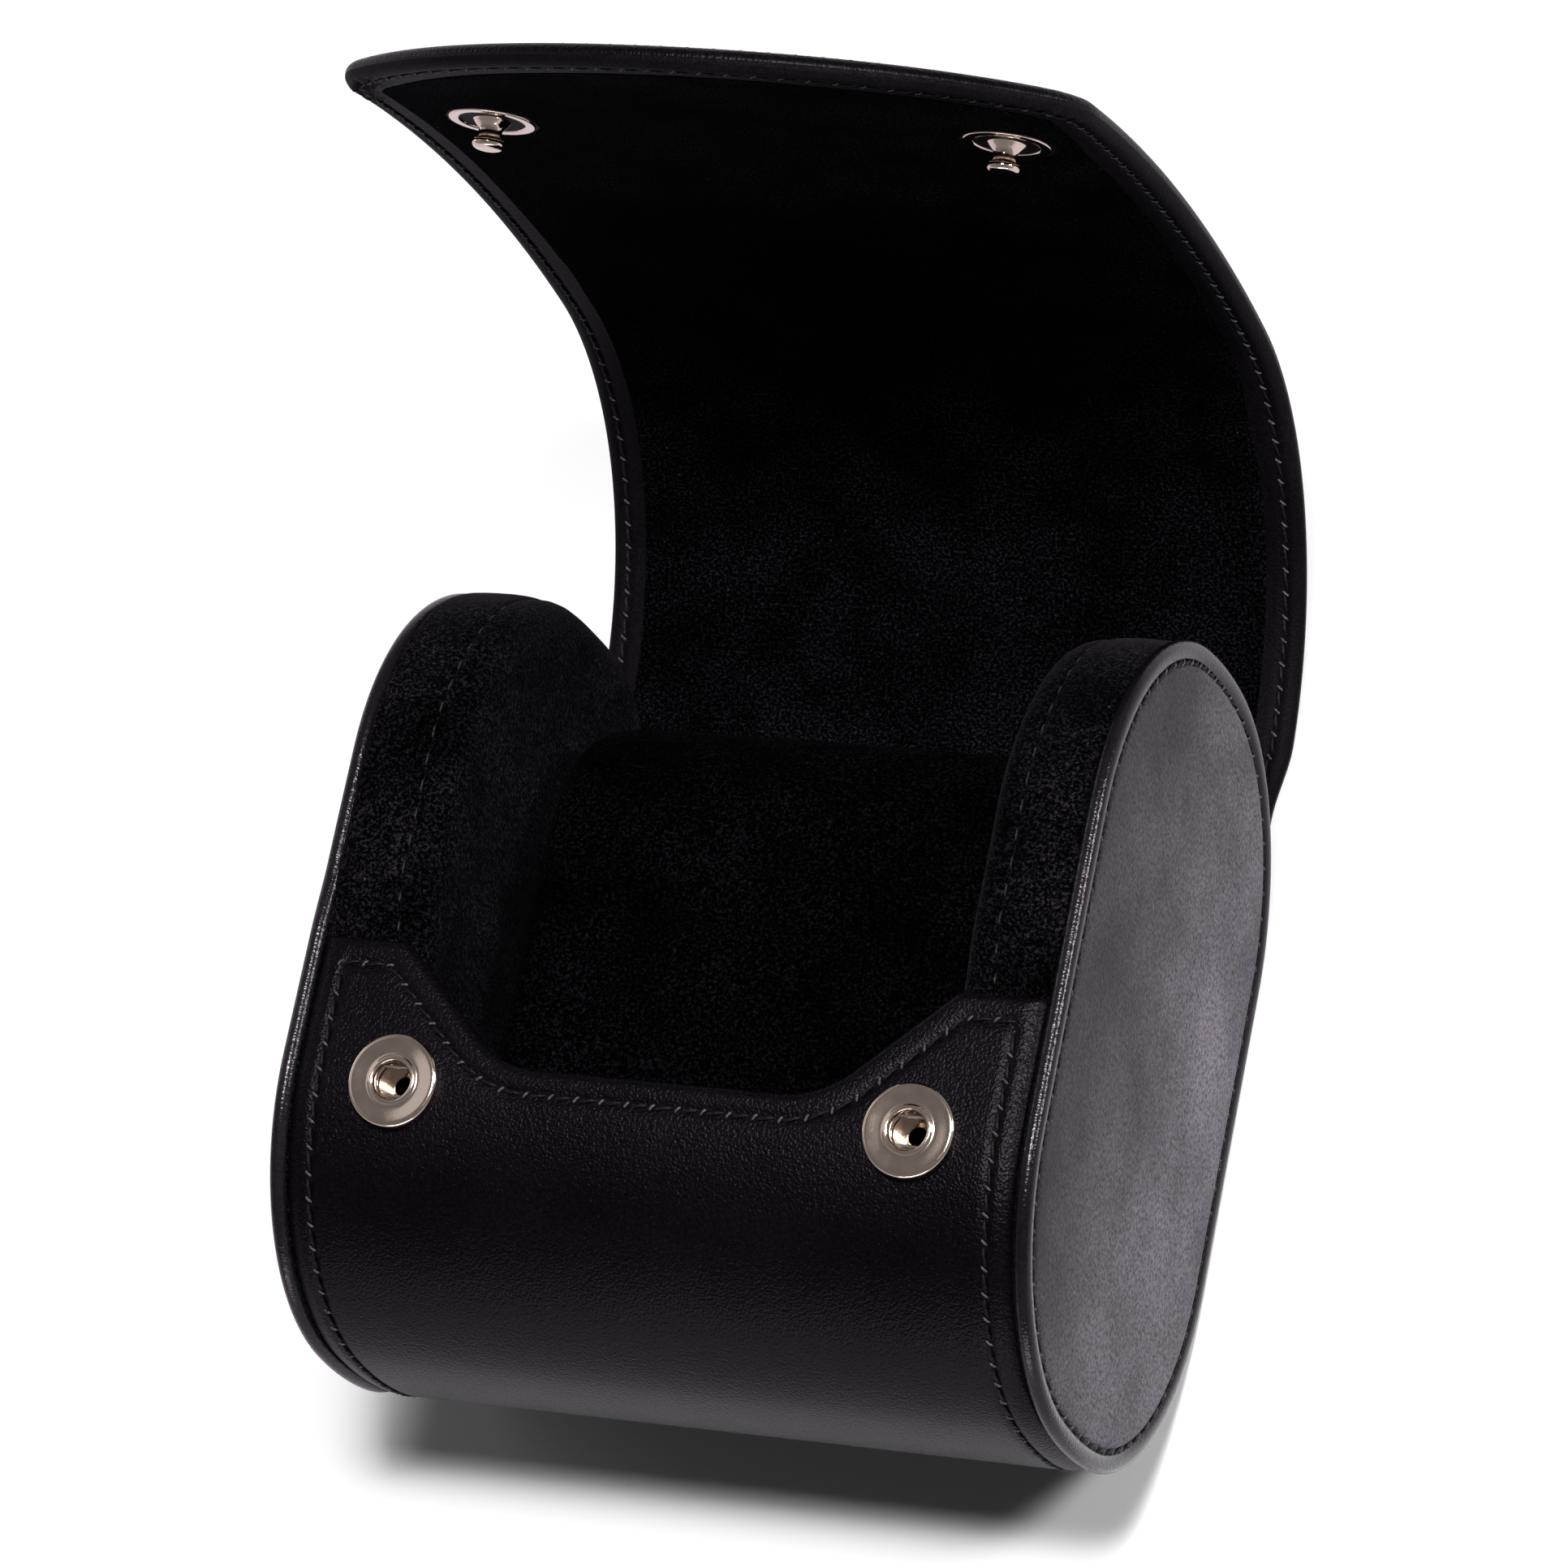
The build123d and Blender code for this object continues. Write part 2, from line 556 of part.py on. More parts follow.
with BuildPart() as flap_board:
    with BuildSketch(Plane.YZ):
        band(flap_edge, LID_LEATHER + BOND_GAP, LID_LEATHER + LID_BOARD)
    extrude(amount=LID_WIDTH / 2, both=True)
    with BuildSketch(Plane.XZ):
        flap_front(BINDING_WIDTH + BOND_GAP)
    extrude(amount=CASE_HEIGHT * 2, both=True, mode=Mode.INTERSECT)
    for sign in SIDES.values():
        with BuildSketch(face_plane(sign * SNAP_X, STUD_SEAT, STUD_NORMAL)):
            Circle(RIVET_HEAD / 2 + PIN_GAP)
        extrude(amount=-LID_THICKNESS * 2, mode=Mode.SUBTRACT)
finish(flap_board, "flap_board")

with BuildPart() as flap_lining:
    with BuildSketch(Plane.YZ):
        band(flap_edge, LID_LEATHER + LID_BOARD + BOND_GAP, LID_THICKNESS)
    extrude(amount=LID_WIDTH / 2, both=True)
    with BuildSketch(Plane.XZ):
        flap_front(BINDING_WIDTH + BOND_GAP)
    extrude(amount=CASE_HEIGHT * 2, both=True, mode=Mode.INTERSECT)
    for sign in SIDES.values():
        with BuildSketch(face_plane(sign * SNAP_X, STUD_SEAT, STUD_NORMAL)):
            Circle(STUD_BASE / 2 + PIN_GAP)
        extrude(amount=-LID_THICKNESS, both=True, mode=Mode.SUBTRACT)
finish(flap_lining, "flap_lining")

# Snap studs in the flap's lining, each on a rivet set under the leather
for side, sign in SIDES.items():
    snap_x = sign * SNAP_X
    stud_foot = BED_GAP - LID_LINING
    rivet_top = stud_foot + RIVET_REACH
    with BuildPart() as stud:
        with BuildSketch(snap_plane(snap_x, STUD_SEAT, STUD_NORMAL)):
            pin = RIVET_SHANK / 2 + PIN_GAP
            with BuildLine():
                foot = Line((pin, stud_foot), (STUD_BASE / 2, stud_foot))
                edge = Line(foot @ 1, (STUD_BASE / 2, STUD_PROUD))
                land = Line(edge @ 1, (STUD_RING / 2, STUD_PROUD))
                drop = Line(land @ 1, (STUD_RING / 2, STUD_PROUD - STUD_RING_DEPTH))
                ring = Line(drop @ 1, (STUD_FOOT / 2, STUD_PROUD - STUD_RING_DEPTH))
                cone = Line(ring @ 1, (STUD_NECK / 2, STUD_CONE))
                neck = Line(cone @ 1, (STUD_NECK / 2, STUD_HEIGHT - STUD_HEAD_HEIGHT))
                swell = Line(neck @ 1, (STUD_HEAD / 2, STUD_HEIGHT - STUD_HEAD_HEIGHT * 0.75))
                cheek = Line(swell @ 1, (STUD_HEAD / 2, STUD_HEIGHT - STUD_HEAD_HEIGHT * 0.45))
                nose = TangentArc(cheek @ 1, (STUD_TIP / 2, STUD_HEIGHT), tangent=cheek % 1)
                tip = Line(nose @ 1, (0, STUD_HEIGHT))
                axis = Line(tip @ 1, (0, rivet_top + PIN_GAP))
                bed = Line(axis @ 1, (pin, rivet_top + PIN_GAP))
                Line(bed @ 1, foot @ 0)
            make_face()
        revolve(axis=snap_axis(snap_x, STUD_SEAT, STUD_NORMAL))
    finish(stud, f"{side}_stud")

    with BuildPart() as rivet:
        with BuildSketch(snap_plane(snap_x, STUD_SEAT, STUD_NORMAL)):
            head_top = stud_foot - PIN_GAP
            head_foot = stud_foot - LID_BOARD + BED_GAP
            with BuildLine():
                under = Line((0, head_foot), (RIVET_HEAD / 2, head_foot))
                rim = Line(under @ 1, (RIVET_HEAD / 2, head_top))
                land = Line(rim @ 1, (RIVET_SHANK / 2, head_top))
                shank = Line(land @ 1, (RIVET_SHANK / 2, rivet_top))
                top = Line(shank @ 1, (0, rivet_top))
                Line(top @ 1, under @ 0)
            make_face()
        revolve(axis=snap_axis(snap_x, STUD_SEAT, STUD_NORMAL))
    finish(rivet, f"{side}_stud_rivet")

# Pillow: velvet cover over a foam core, loose in the case and lifted out by hand
with BuildPart() as pillow_core:
    with BuildSketch(Plane.YZ):
        pillow_section(PILLOW_COVER)
    extrude(amount=PILLOW_WIDTH / 2 - PILLOW_COVER, both=True)
    fillet(pillow_core.faces().filter_by(Axis.X).edges(), PILLOW_END_ROUND - PILLOW_COVER)
finish(pillow_core, "pillow_core")

with BuildPart() as pillow_cover:
    with BuildSketch(Plane.YZ):
        pillow_section(0)
    extrude(amount=PILLOW_WIDTH / 2, both=True)
    fillet(pillow_cover.faces().filter_by(Axis.X).edges(), PILLOW_END_ROUND)
    add(pillow_core.part, mode=Mode.SUBTRACT)
finish(pillow_cover, "pillow_cover")
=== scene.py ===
"""Looks of a leather travel roll: skins, linings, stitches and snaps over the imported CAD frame."""
import math

import bmesh
import bpy
import numpy as np
from mathutils import Matrix, Vector


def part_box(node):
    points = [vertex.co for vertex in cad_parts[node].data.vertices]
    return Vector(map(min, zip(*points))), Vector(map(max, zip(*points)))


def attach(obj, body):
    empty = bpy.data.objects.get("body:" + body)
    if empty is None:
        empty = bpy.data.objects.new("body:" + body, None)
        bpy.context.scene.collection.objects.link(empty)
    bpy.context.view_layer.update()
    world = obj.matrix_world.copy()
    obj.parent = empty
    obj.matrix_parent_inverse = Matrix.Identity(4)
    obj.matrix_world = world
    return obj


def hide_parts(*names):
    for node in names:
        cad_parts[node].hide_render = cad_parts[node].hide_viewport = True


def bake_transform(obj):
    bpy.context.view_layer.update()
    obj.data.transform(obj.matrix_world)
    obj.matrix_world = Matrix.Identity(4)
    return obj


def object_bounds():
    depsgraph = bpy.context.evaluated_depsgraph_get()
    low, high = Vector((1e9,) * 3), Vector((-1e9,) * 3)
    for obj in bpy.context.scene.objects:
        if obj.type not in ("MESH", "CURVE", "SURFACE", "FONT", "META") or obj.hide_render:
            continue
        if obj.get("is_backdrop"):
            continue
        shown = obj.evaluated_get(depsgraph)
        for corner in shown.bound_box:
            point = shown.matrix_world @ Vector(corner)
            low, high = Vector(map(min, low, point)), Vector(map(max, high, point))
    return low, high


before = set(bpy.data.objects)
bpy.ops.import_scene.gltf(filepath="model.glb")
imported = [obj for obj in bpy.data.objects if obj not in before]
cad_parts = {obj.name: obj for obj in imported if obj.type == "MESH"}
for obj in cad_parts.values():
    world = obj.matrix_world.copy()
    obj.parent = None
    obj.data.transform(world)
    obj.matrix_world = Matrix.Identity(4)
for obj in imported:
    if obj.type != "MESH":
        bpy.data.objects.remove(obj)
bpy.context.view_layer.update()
MM = 0.001
UV_PER_MM = 0.01
UV_TO_METRES = MM / UV_PER_MM
SIDES = (("left", -1), ("right", 1))

# Sizes of the CAD model, in millimetres, that the skins follow
CASE_WIDTH, CASE_HEIGHT, CASE_DEPTH = 95.2, 98.5, 67.0
CORNER_SHORT, END_RADIUS = 3.5, 60.0
DISC_THICKNESS, STRIP_GAP, LID_PAST_WRAP = 2.0, 0.3, 0.8
WRAP_THICKNESS, LID_THICKNESS, BINDING = 3.2, 2.8, 4.3
PANEL_HEIGHT, PANEL_TIP = 45.05, 10.8
SCOOP_DROP, SCOOP_SLANT, SCOOP_ROUND = 14.1, 14.7, 12.0
ROOT_PAST_FLAT, STRIP, RUN = 8.5, 16.6, 3.8
FOLDS = math.radians(22.8 + 34.2 + 29.6)
CURL_RADIUS, CURL_TURN, FLAP_RADIUS = 43.6215, math.radians(83.8), 233.9569
FLAP_OVERHANG, FLAP_BOW, FLAP_CORNER = 33.8, 19.5, 11.0
SNAP_FROM_SIDE, SNAP_FROM_TOP = 13.35, 17.4

CORNER_RADIUS = CASE_DEPTH / 2 - CORNER_SHORT
CORNER_TURN = math.acos(CORNER_SHORT / (END_RADIUS - CORNER_RADIUS))
END_TURN = math.pi - 2 * CORNER_TURN
SIDE_RUN = CASE_HEIGHT / 2 - END_RADIUS + (END_RADIUS - CORNER_RADIUS) * math.sin(CORNER_TURN)
PANEL_TOP_Y = PANEL_HEIGHT - CASE_HEIGHT / 2
ROOT_Y = SIDE_RUN + ROOT_PAST_FLAT
DISC_X = CASE_WIDTH / 2
WRAP_HALF = DISC_X - DISC_THICKNESS
STRIP_HALF = WRAP_HALF - STRIP_GAP
LID_HALF = WRAP_HALF + LID_PAST_WRAP
FLAP_BOW_RADIUS = (LID_HALF**2 + FLAP_BOW**2) / 2 / FLAP_BOW
SNAP_X, SNAP_Y = WRAP_HALF - SNAP_FROM_SIDE, PANEL_TOP_Y - SNAP_FROM_TOP
SNAP_SLOPE = math.asin((-SNAP_Y - SIDE_RUN) / CORNER_RADIUS)
SNAP_SEAT = Vector((0, SNAP_Y, CASE_DEPTH - CORNER_RADIUS * (1 - math.cos(SNAP_SLOPE))))
SNAP_AXIS = Vector((0, -math.sin(SNAP_SLOPE), math.cos(SNAP_SLOPE)))

# Run of the leather in section, as (length, radius) from the front panel's top edge to past the flap
CORNER_ARC = (CORNER_RADIUS * CORNER_TURN, CORNER_RADIUS)
END_ARC = (END_RADIUS * END_TURN, END_RADIUS)
CURL_ARC = (CURL_RADIUS * CURL_TURN, CURL_RADIUS)
PAST_FLAP = 120.0
SEGMENTS = ((PANEL_TOP_Y + SIDE_RUN, 0), CORNER_ARC, END_ARC, CORNER_ARC,
            (SIDE_RUN + ROOT_Y + STRIP + RUN, 0), CURL_ARC, (PAST_FLAP, FLAP_RADIUS))
S_ROOT = sum(length for length, radius in SEGMENTS[:4]) + SIDE_RUN + ROOT_Y
S_SHOULDER = S_ROOT + STRIP
S_FOLD = S_SHOULDER + RUN + CURL_ARC[0]
S_SEAM_1 = S_ROOT + STRIP / 2
S_SEAM_2 = S_SHOULDER + 5.6
S_SNAP = SEGMENTS[0][0] + CORNER_RADIUS * SNAP_SLOPE
S_STUD = S_FOLD + FLAP_RADIUS * (math.pi + SNAP_SLOPE - CURL_TURN - FOLDS)


def stepped(length, radius, heading):
    """Move along an arc, or a straight run where radius is 0: change in y and z, and new heading."""
    if not radius:
        return length * math.cos(heading), length * math.sin(heading), heading + 0 * length
    ahead = heading + length / radius
    return radius * (np.sin(ahead) - math.sin(heading)), radius * (math.cos(heading) - np.cos(ahead)), ahead


def profile(s):
    """Place (y, z) and outward normal (ny, nz) of the leather's outer face, s along its run."""
    s = np.asarray(s, float)
    found = np.zeros((3, *s.shape))
    start, y, z, heading = 0.0, PANEL_TOP_Y, CASE_DEPTH, math.pi
    for index, (length, radius) in enumerate(SEGMENTS):
        here = (s >= start) | (index == 0)
        dy, dz, ahead = stepped(s - start, radius, heading)
        found = np.where(here, np.stack((y + dy, z + dz, ahead)), found)
        dy, dz, heading = stepped(length, radius, heading)
        start, y, z = start + length, y + dy, z + dz
    return found[0], found[1], np.sin(found[2]), -np.cos(found[2])


def section_frame(s):
    """Point on the lid's lining and inward normal, s along the run."""
    y, z, ny, nz = (float(value) for value in profile(s))
    inward = Vector((0, -ny, -nz))
    return Vector((0, y, z)) + inward * LID_THICKNESS, inward


STUD_SEAT, STUD_AXIS = section_frame(S_STUD)
FLAP_TIP_Z = STUD_SEAT.z + FLAP_OVERHANG

# Centre of the flap's round corner
CORNER_X = LID_HALF - FLAP_CORNER
CORNER_Z = FLAP_TIP_Z - FLAP_BOW_RADIUS + math.sqrt((FLAP_BOW_RADIUS - FLAP_CORNER) ** 2 - CORNER_X**2)


def flap_s(z):
    """Place along the run at which the flap's outer face reaches height z."""
    start_z, ny, nz = (float(value) for value in profile(S_FOLD)[1:])
    heading = math.atan2(ny, -nz)
    centre = start_z + FLAP_RADIUS * math.cos(heading)
    turned_to = np.arccos(np.clip((centre - np.asarray(z, float)) / FLAP_RADIUS, -1, 1))
    return S_FOLD + FLAP_RADIUS * (turned_to - heading)


def smooth(low, high, value):
    """Eased step from 0 at low to 1 at high."""
    t = np.clip((np.asarray(value, float) - low) / (high - low), 0, 1)
    return t * t * (3 - 2 * t)


def half_width(s):
    """Half the leather's width along its run: narrow between the discs, wider past the shoulder."""
    strip = smooth(S_ROOT - 4, S_ROOT + 2, s)
    lid = smooth(S_SHOULDER - 3, S_SHOULDER + 7, s)
    return WRAP_HALF + (STRIP_HALF - WRAP_HALF) * strip + (LID_HALF - STRIP_HALF) * lid


def filleted(points, radii, steps=14):
    """Open polyline with each inner corner rounded to its radius."""
    points = [np.array(point, float) for point in points]
    out = [points[0]]
    for before, corner, after, radius in zip(points, points[1:], points[2:], radii):
        back = (before - corner) / np.linalg.norm(before - corner)
        ahead = (after - corner) / np.linalg.norm(after - corner)
        half = math.acos(np.clip(back @ ahead, -1, 1)) / 2
        reach = radius / math.tan(half)
        middle = corner + (back + ahead) / np.linalg.norm(back + ahead) * radius / math.sin(half)
        start, end = corner + back * reach - middle, corner + ahead * reach - middle
        angle = math.pi - 2 * half
        for t in np.arange(steps + 1) / steps:
            spoke = (math.sin((1 - t) * angle) * start + math.sin(t * angle) * end) / math.sin(angle)
            out.append(middle + spoke)
    return np.array(out + [points[-1]])


def panel_edge(inset):
    """Right half of the front panel's top outline in (x, s), from its side to its middle."""
    tip = WRAP_HALF - PANEL_TIP
    slant = np.array([-SCOOP_SLANT, SCOOP_DROP])
    along = slant / np.linalg.norm(slant)
    point = np.array([tip, 0.0]) + np.array([along[1], -along[0]]) * inset
    top = point + along * (inset - point[1]) / along[1]
    low = point + along * (SCOOP_DROP + inset - point[1]) / along[1]
    side, far = WRAP_HALF - inset, (SCOOP_DROP + 30 if inset else 3.0)
    points = [(side, far), (side, inset), top, low, (0.0, SCOOP_DROP + inset)]
    return filleted(points, [1.0, 1.5, SCOOP_ROUND + inset] if inset else [0.9, 1.2, SCOOP_ROUND])


def flap_end(x, inset=0.0):
    """Place along the run of the flap's bowed front edge, `inset` inside it."""
    x = np.abs(np.asarray(x, float))
    bow, corner, tip = FLAP_BOW_RADIUS - inset, FLAP_CORNER - inset, FLAP_TIP_Z - inset
    meet = CORNER_X * bow / (bow - corner)
    arc = tip - bow + np.sqrt(np.maximum(bow**2 - np.minimum(x, meet) ** 2, 0))
    side = CORNER_Z + np.sqrt(np.maximum(corner**2 - np.clip(x - CORNER_X, 0, corner) ** 2, 0))
    return flap_s(np.where(x <= meet, arc, side))


# Meshes
def linked(name, data):
    """New object of the scene for a mesh, lamp or camera."""
    obj = bpy.data.objects.new(name, data)
    bpy.context.scene.collection.objects.link(obj)
    return obj


def mesh_object(name, points, faces, materials=(), uv=None, values=None):
    """Smooth mesh object from millimetre points, with an optional uv and values per point."""
    data = bpy.data.meshes.new(name)
    data.from_pydata([tuple(point) for point in np.asarray(points, float) * MM], [], faces)
    if uv is not None:
        layer = data.uv_layers.new(name="flat")
        index = np.zeros(len(data.loops), np.int32)
        data.loops.foreach_get("vertex_index", index)
        layer.data.foreach_set("uv", np.asarray(uv, np.float32)[index].ravel())
    for key, value in (values or {}).items():
        attribute = data.attributes.new(key, "FLOAT", "POINT")
        attribute.data.foreach_set("value", np.asarray(value, np.float32))
    data.shade_smooth()
    for material in materials:
        data.materials.append(material)
    data.update()
    return linked(name, data)


def tube(rings, around):
    """Faces between closed rings of points, ring after ring."""
    faces = []
    for first in range(0, (rings - 1) * around, around):
        for k in range(around):
            n = (k + 1) % around
            faces.append((first + k, first + n, first + around + n, first + around + k))
    return faces


def other_way(faces):
    """The same faces, pointing the other way."""
    return [(face[0], *face[:0:-1]) for face in faces]


def closed_tube(rings, around):
    """Faces of a tube with both ends shut, pointing the other way."""
    last = (rings - 1) * around
    ends = [tuple(range(around)), tuple(range(last + around - 1, last - 1, -1))]
    return other_way(tube(rings, around)) + ends


def baked(obj):
    """Replace an object's modifiers by their result."""
    graph = bpy.context.evaluated_depsgraph_get()
    old = obj.data
    obj_now = obj.evaluated_get(graph)
    data = bpy.data.meshes.new_from_object(obj_now, preserve_all_data_layers=True, depsgraph=graph)
    obj.modifiers.clear()
    obj.data = data
    data.name = obj.name
    bpy.data.meshes.remove(old)


def cut(obj, name, low, high):
    """Copy of the faces whose place along the run lies between two values."""
    data = obj.data.copy()
    bm = bmesh.new()
    bm.from_mesh(data)
    layer = bm.loops.layers.uv["flat"]
    gone = []
    for face in bm.faces:
        s = sum(loop[layer].uv.y for loop in face.loops) / len(face.loops) / UV_PER_MM
        if not low <= s < high:
            gone.append(face)
    bmesh.ops.delete(bm, geom=gone, context="FACES")
    bm.to_mesh(data)
    bm.free()
    data.name = name
    return linked(name, data)


# Folds: two bodies and the stretch over which the leather turns from one to the other
fold_at, fold_inward = section_frame(S_FOLD)
fold_way = Vector((0, fold_inward.z, -fold_inward.y))
FLAP_REACH = 12
ROOT_BLEND = ("case", "hinge_strip", (0, (ROOT_Y - 7) * MM, 0), (0, (ROOT_Y + 6.5) * MM, 0))
SHOULDER_BLEND = ("hinge_strip", "lid", (0, (ROOT_Y + 7.7) * MM, 0), (0, (ROOT_Y + STRIP + 5.5) * MM, 0))
FLAP_BLEND = ("lid", "flap", tuple((fold_at - fold_way * FLAP_REACH) * MM),
              tuple((fold_at + fold_way * FLAP_REACH) * MM))
RANGES = (("wrap", -99, S_SEAM_1, ROOT_BLEND), ("hinge", S_SEAM_1, S_SEAM_2, SHOULDER_BLEND),
          ("lid", S_SEAM_2, 999, FLAP_BLEND))


def bend(obj):
    """Bake a piece's placement into its mesh."""
    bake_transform(obj)


def split_and_bend(obj, kind, replaced):
    """Cut a sheet into one piece per fold, each in place of its CAD nodes, which are hidden."""
    for (part, low, high, how), nodes in zip(RANGES, replaced):
        piece = cut(obj, f"{part}_{kind}", low, high)
        bend(piece)
        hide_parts(*nodes)
    bpy.data.objects.remove(obj)


def carried(obj, body, slot, *replaced):
    """Let a rigid piece move with a body, in place of CAD nodes; slot is not used."""
    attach(obj, body)
    if replaced:
        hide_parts(*replaced)


# Shader nodes
def fill(tree, node, pairs):
    """Give a node's inputs their values, or links from other nodes, as (socket, value or output) pairs."""
    for socket, value in pairs:
        if isinstance(value, bpy.types.NodeSocket):
            tree.links.new(value, node.inputs[socket])
        else:
            node.inputs[socket].default_value = value


def put(tree, kind, inputs=(), **settings):
    """New node with its settings and its inputs."""
    node = tree.nodes.new(kind)
    for key, value in settings.items():
        setattr(node, key, value)
    fill(tree, node, inputs)
    return node


def calculated(tree, operation, a, b=0.0, clamp=False):
    """Result of an operation on numbers."""
    return put(tree, "ShaderNodeMath", [(0, a), (1, b)], operation=operation, use_clamp=clamp).outputs[0]


def scaled(tree, vector, factor):
    """A vector or colour times a number."""
    return put(tree, "ShaderNodeVectorMath", [(0, vector), ("Scale", factor)], operation="SCALE").outputs[0]


def added(tree, a, b):
    """Sum of two vectors."""
    return put(tree, "ShaderNodeVectorMath", [(0, a), (1, b)], operation="ADD").outputs[0]


def ranged(tree, value, start, end, ease="LINEAR"):
    """A number mapped from one (low, high) range to another."""
    limits = zip(("From Min", "From Max", "To Min", "To Max"), (*start, *end))
    return put(tree, "ShaderNodeMapRange", [("Value", value), *limits], interpolation_type=ease).outputs[0]


def noise(tree, place, scale, detail=2.0, rough=0.5):
    """Noise at a place in metres."""
    inputs = [("Vector", place), ("Scale", scale), ("Detail", detail), ("Roughness", rough)]
    return put(tree, "ShaderNodeTexNoise", inputs).outputs["Fac"]


def bumped(tree, height, strength, distance):
    """Normal of a surface with small heights on it."""
    inputs = [("Height", height), ("Strength", strength), ("Distance", distance)]
    return put(tree, "ShaderNodeBump", inputs).outputs[0]


def ramped(tree, value, dark, pale, start=0.0, end=1.0):
    """Colour between dark and pale."""
    node = put(tree, "ShaderNodeValToRGB", [("Fac", value)])
    for stop, position, colour in zip(node.color_ramp.elements, (start, end), (dark, pale)):
        stop.position = position
        stop.color = (*colour, 1)
    return node.outputs[0]


def point_value(tree, name):
    """Value that a mesh carries at its points."""
    return put(tree, "ShaderNodeAttribute", attribute_name=name).outputs["Fac"]


def object_place(tree):
    """Texture place in the object's own space, in metres."""
    return put(tree, "ShaderNodeTexCoord").outputs["Object"]


def flat_place(tree):
    """Texture place along the flat leather, in metres."""
    return scaled(tree, put(tree, "ShaderNodeUVMap", uv_map="flat").outputs[0], UV_TO_METRES)


def blank(name, kind="materials"):
    """New material or world with an empty node tree."""
    made = getattr(bpy.data, kind).new(name)
    made.use_nodes = True
    made.node_tree.nodes.clear()
    return made, made.node_tree


def finished(material, inputs):
    """The material with one shader that has these inputs."""
    shader = put(material.node_tree, "ShaderNodeBsdfPrincipled", inputs)
    put(material.node_tree, "ShaderNodeOutputMaterial", [(0, shader.outputs[0])])
    return material


SURFACE = (("Colour", "Color", "Base Color"), ("Rough", "Float", "Roughness"), ("Normal", "Vector", "Normal"))


def surface_group(name, **inputs):
    """Empty node group that makes a surface's colour, roughness and normal from a place and more inputs."""
    tree = bpy.data.node_groups.new(name, "ShaderNodeTree")
    for label, kind in {"Place": "Vector", **inputs}.items():
        tree.interface.new_socket(label, in_out="INPUT", socket_type=f"NodeSocket{kind}")
    for label, kind, socket in SURFACE:
        tree.interface.new_socket(label, in_out="OUTPUT", socket_type=f"NodeSocket{kind}")
    return tree, tree.nodes.new("NodeGroupInput").outputs, tree.nodes.new("NodeGroupOutput")


def surface(tree, group, inputs):
    """Shader inputs that come from a surface group."""
    node = put(tree, "ShaderNodeGroup", inputs, node_tree=group)
    return [(socket, node.outputs[label]) for label, kind, socket in SURFACE]


def grain_group():
    """Leather: fine pebbled grain, hair cells and slow mottling, from a place in metres."""
    numbers = {label: "Float" for label in ("Rough", "Grain", "Depth", "Wear", "Speck")}
    tree, given, result = surface_group("leather_grain", Colour="Color", Pale="Color", **numbers)
    place = given["Place"]
    fine = noise(tree, place, 2200.0, 3.0, 0.6)
    moved = added(tree, place, scaled(tree, fine.node.outputs["Color"], 0.0002))
    inputs = [("Vector", moved), ("Scale", given["Grain"]), ("Smoothness", 0.6)]
    pebbles = put(tree, "ShaderNodeTexVoronoi", inputs, feature="SMOOTH_F1").outputs["Distance"]
    high = calculated(tree, "MULTIPLY", pebbles, fine)
    mottled = ranged(tree, noise(tree, place, 38.0, 5.0, 0.62), (0.36, 0.68), (0.0, 1.0))
    worn = calculated(tree, "ADD", mottled, given["Wear"], clamp=True)
    # Inputs 6 and 7 and output 2 of this node are the ones for colours
    base = put(tree, "ShaderNodeMix", [(0, worn), (6, given["Colour"]), (7, given["Pale"])], data_type="RGBA")
    grit = ranged(tree, noise(tree, place, 2000.0, 3.0, 0.7), (0.32, 0.68), (-1.0, 0.45))
    dust = calculated(tree, "ADD", calculated(tree, "MULTIPLY", grit, given["Speck"]), 1.0)
    spread = ranged(tree, fine, (0.0, 1.0), (-0.09, 0.09))
    fill(tree, result, [("Colour", scaled(tree, base.outputs[2], dust)),
                        ("Rough", calculated(tree, "ADD", given["Rough"], spread, clamp=True)),
                        ("Normal", bumped(tree, high, given["Depth"], 0.00015))])
    return tree


def nap_group():
    """Velvet: pile flecks, brushed clouds and lint, from a place in metres."""
    tree, given, result = surface_group("velvet_pile", Light="Float")
    place = given["Place"]
    pile = noise(tree, place, 2500.0, 3.0, 0.75)
    lint = put(tree, "ShaderNodeTexVoronoi", [("Vector", place), ("Scale", 300.0)]).outputs["Distance"]
    cloud = ranged(tree, noise(tree, place, 75.0, 4.0, 0.6), (0.35, 0.72), (0.35, 1.5))
    tips = ranged(tree, pile, (0.5, 0.72), (0.1, 5.5))
    fleck = ranged(tree, lint, (0.03, 0.06), (6.0, 0.0))
    both = calculated(tree, "ADD", calculated(tree, "MULTIPLY", cloud, tips), fleck)
    level = calculated(tree, "MULTIPLY", both, given["Light"])
    fill(tree, result, [("Colour", scaled(tree, (0.0044, 0.0038, 0.0050), level)),
                        ("Rough", ranged(tree, pile, (0.0, 1.0), (0.82, 1.0))),
                        ("Normal", bumped(tree, pile, 0.7, 0.0004))])
    return tree


GRAIN, NAP = grain_group(), nap_group()
# Heights in metres over which the discs' painted light and shade runs
PAINTED_SHADE_Z = (0.012, 0.064)
WEAR_REACH = 1.1


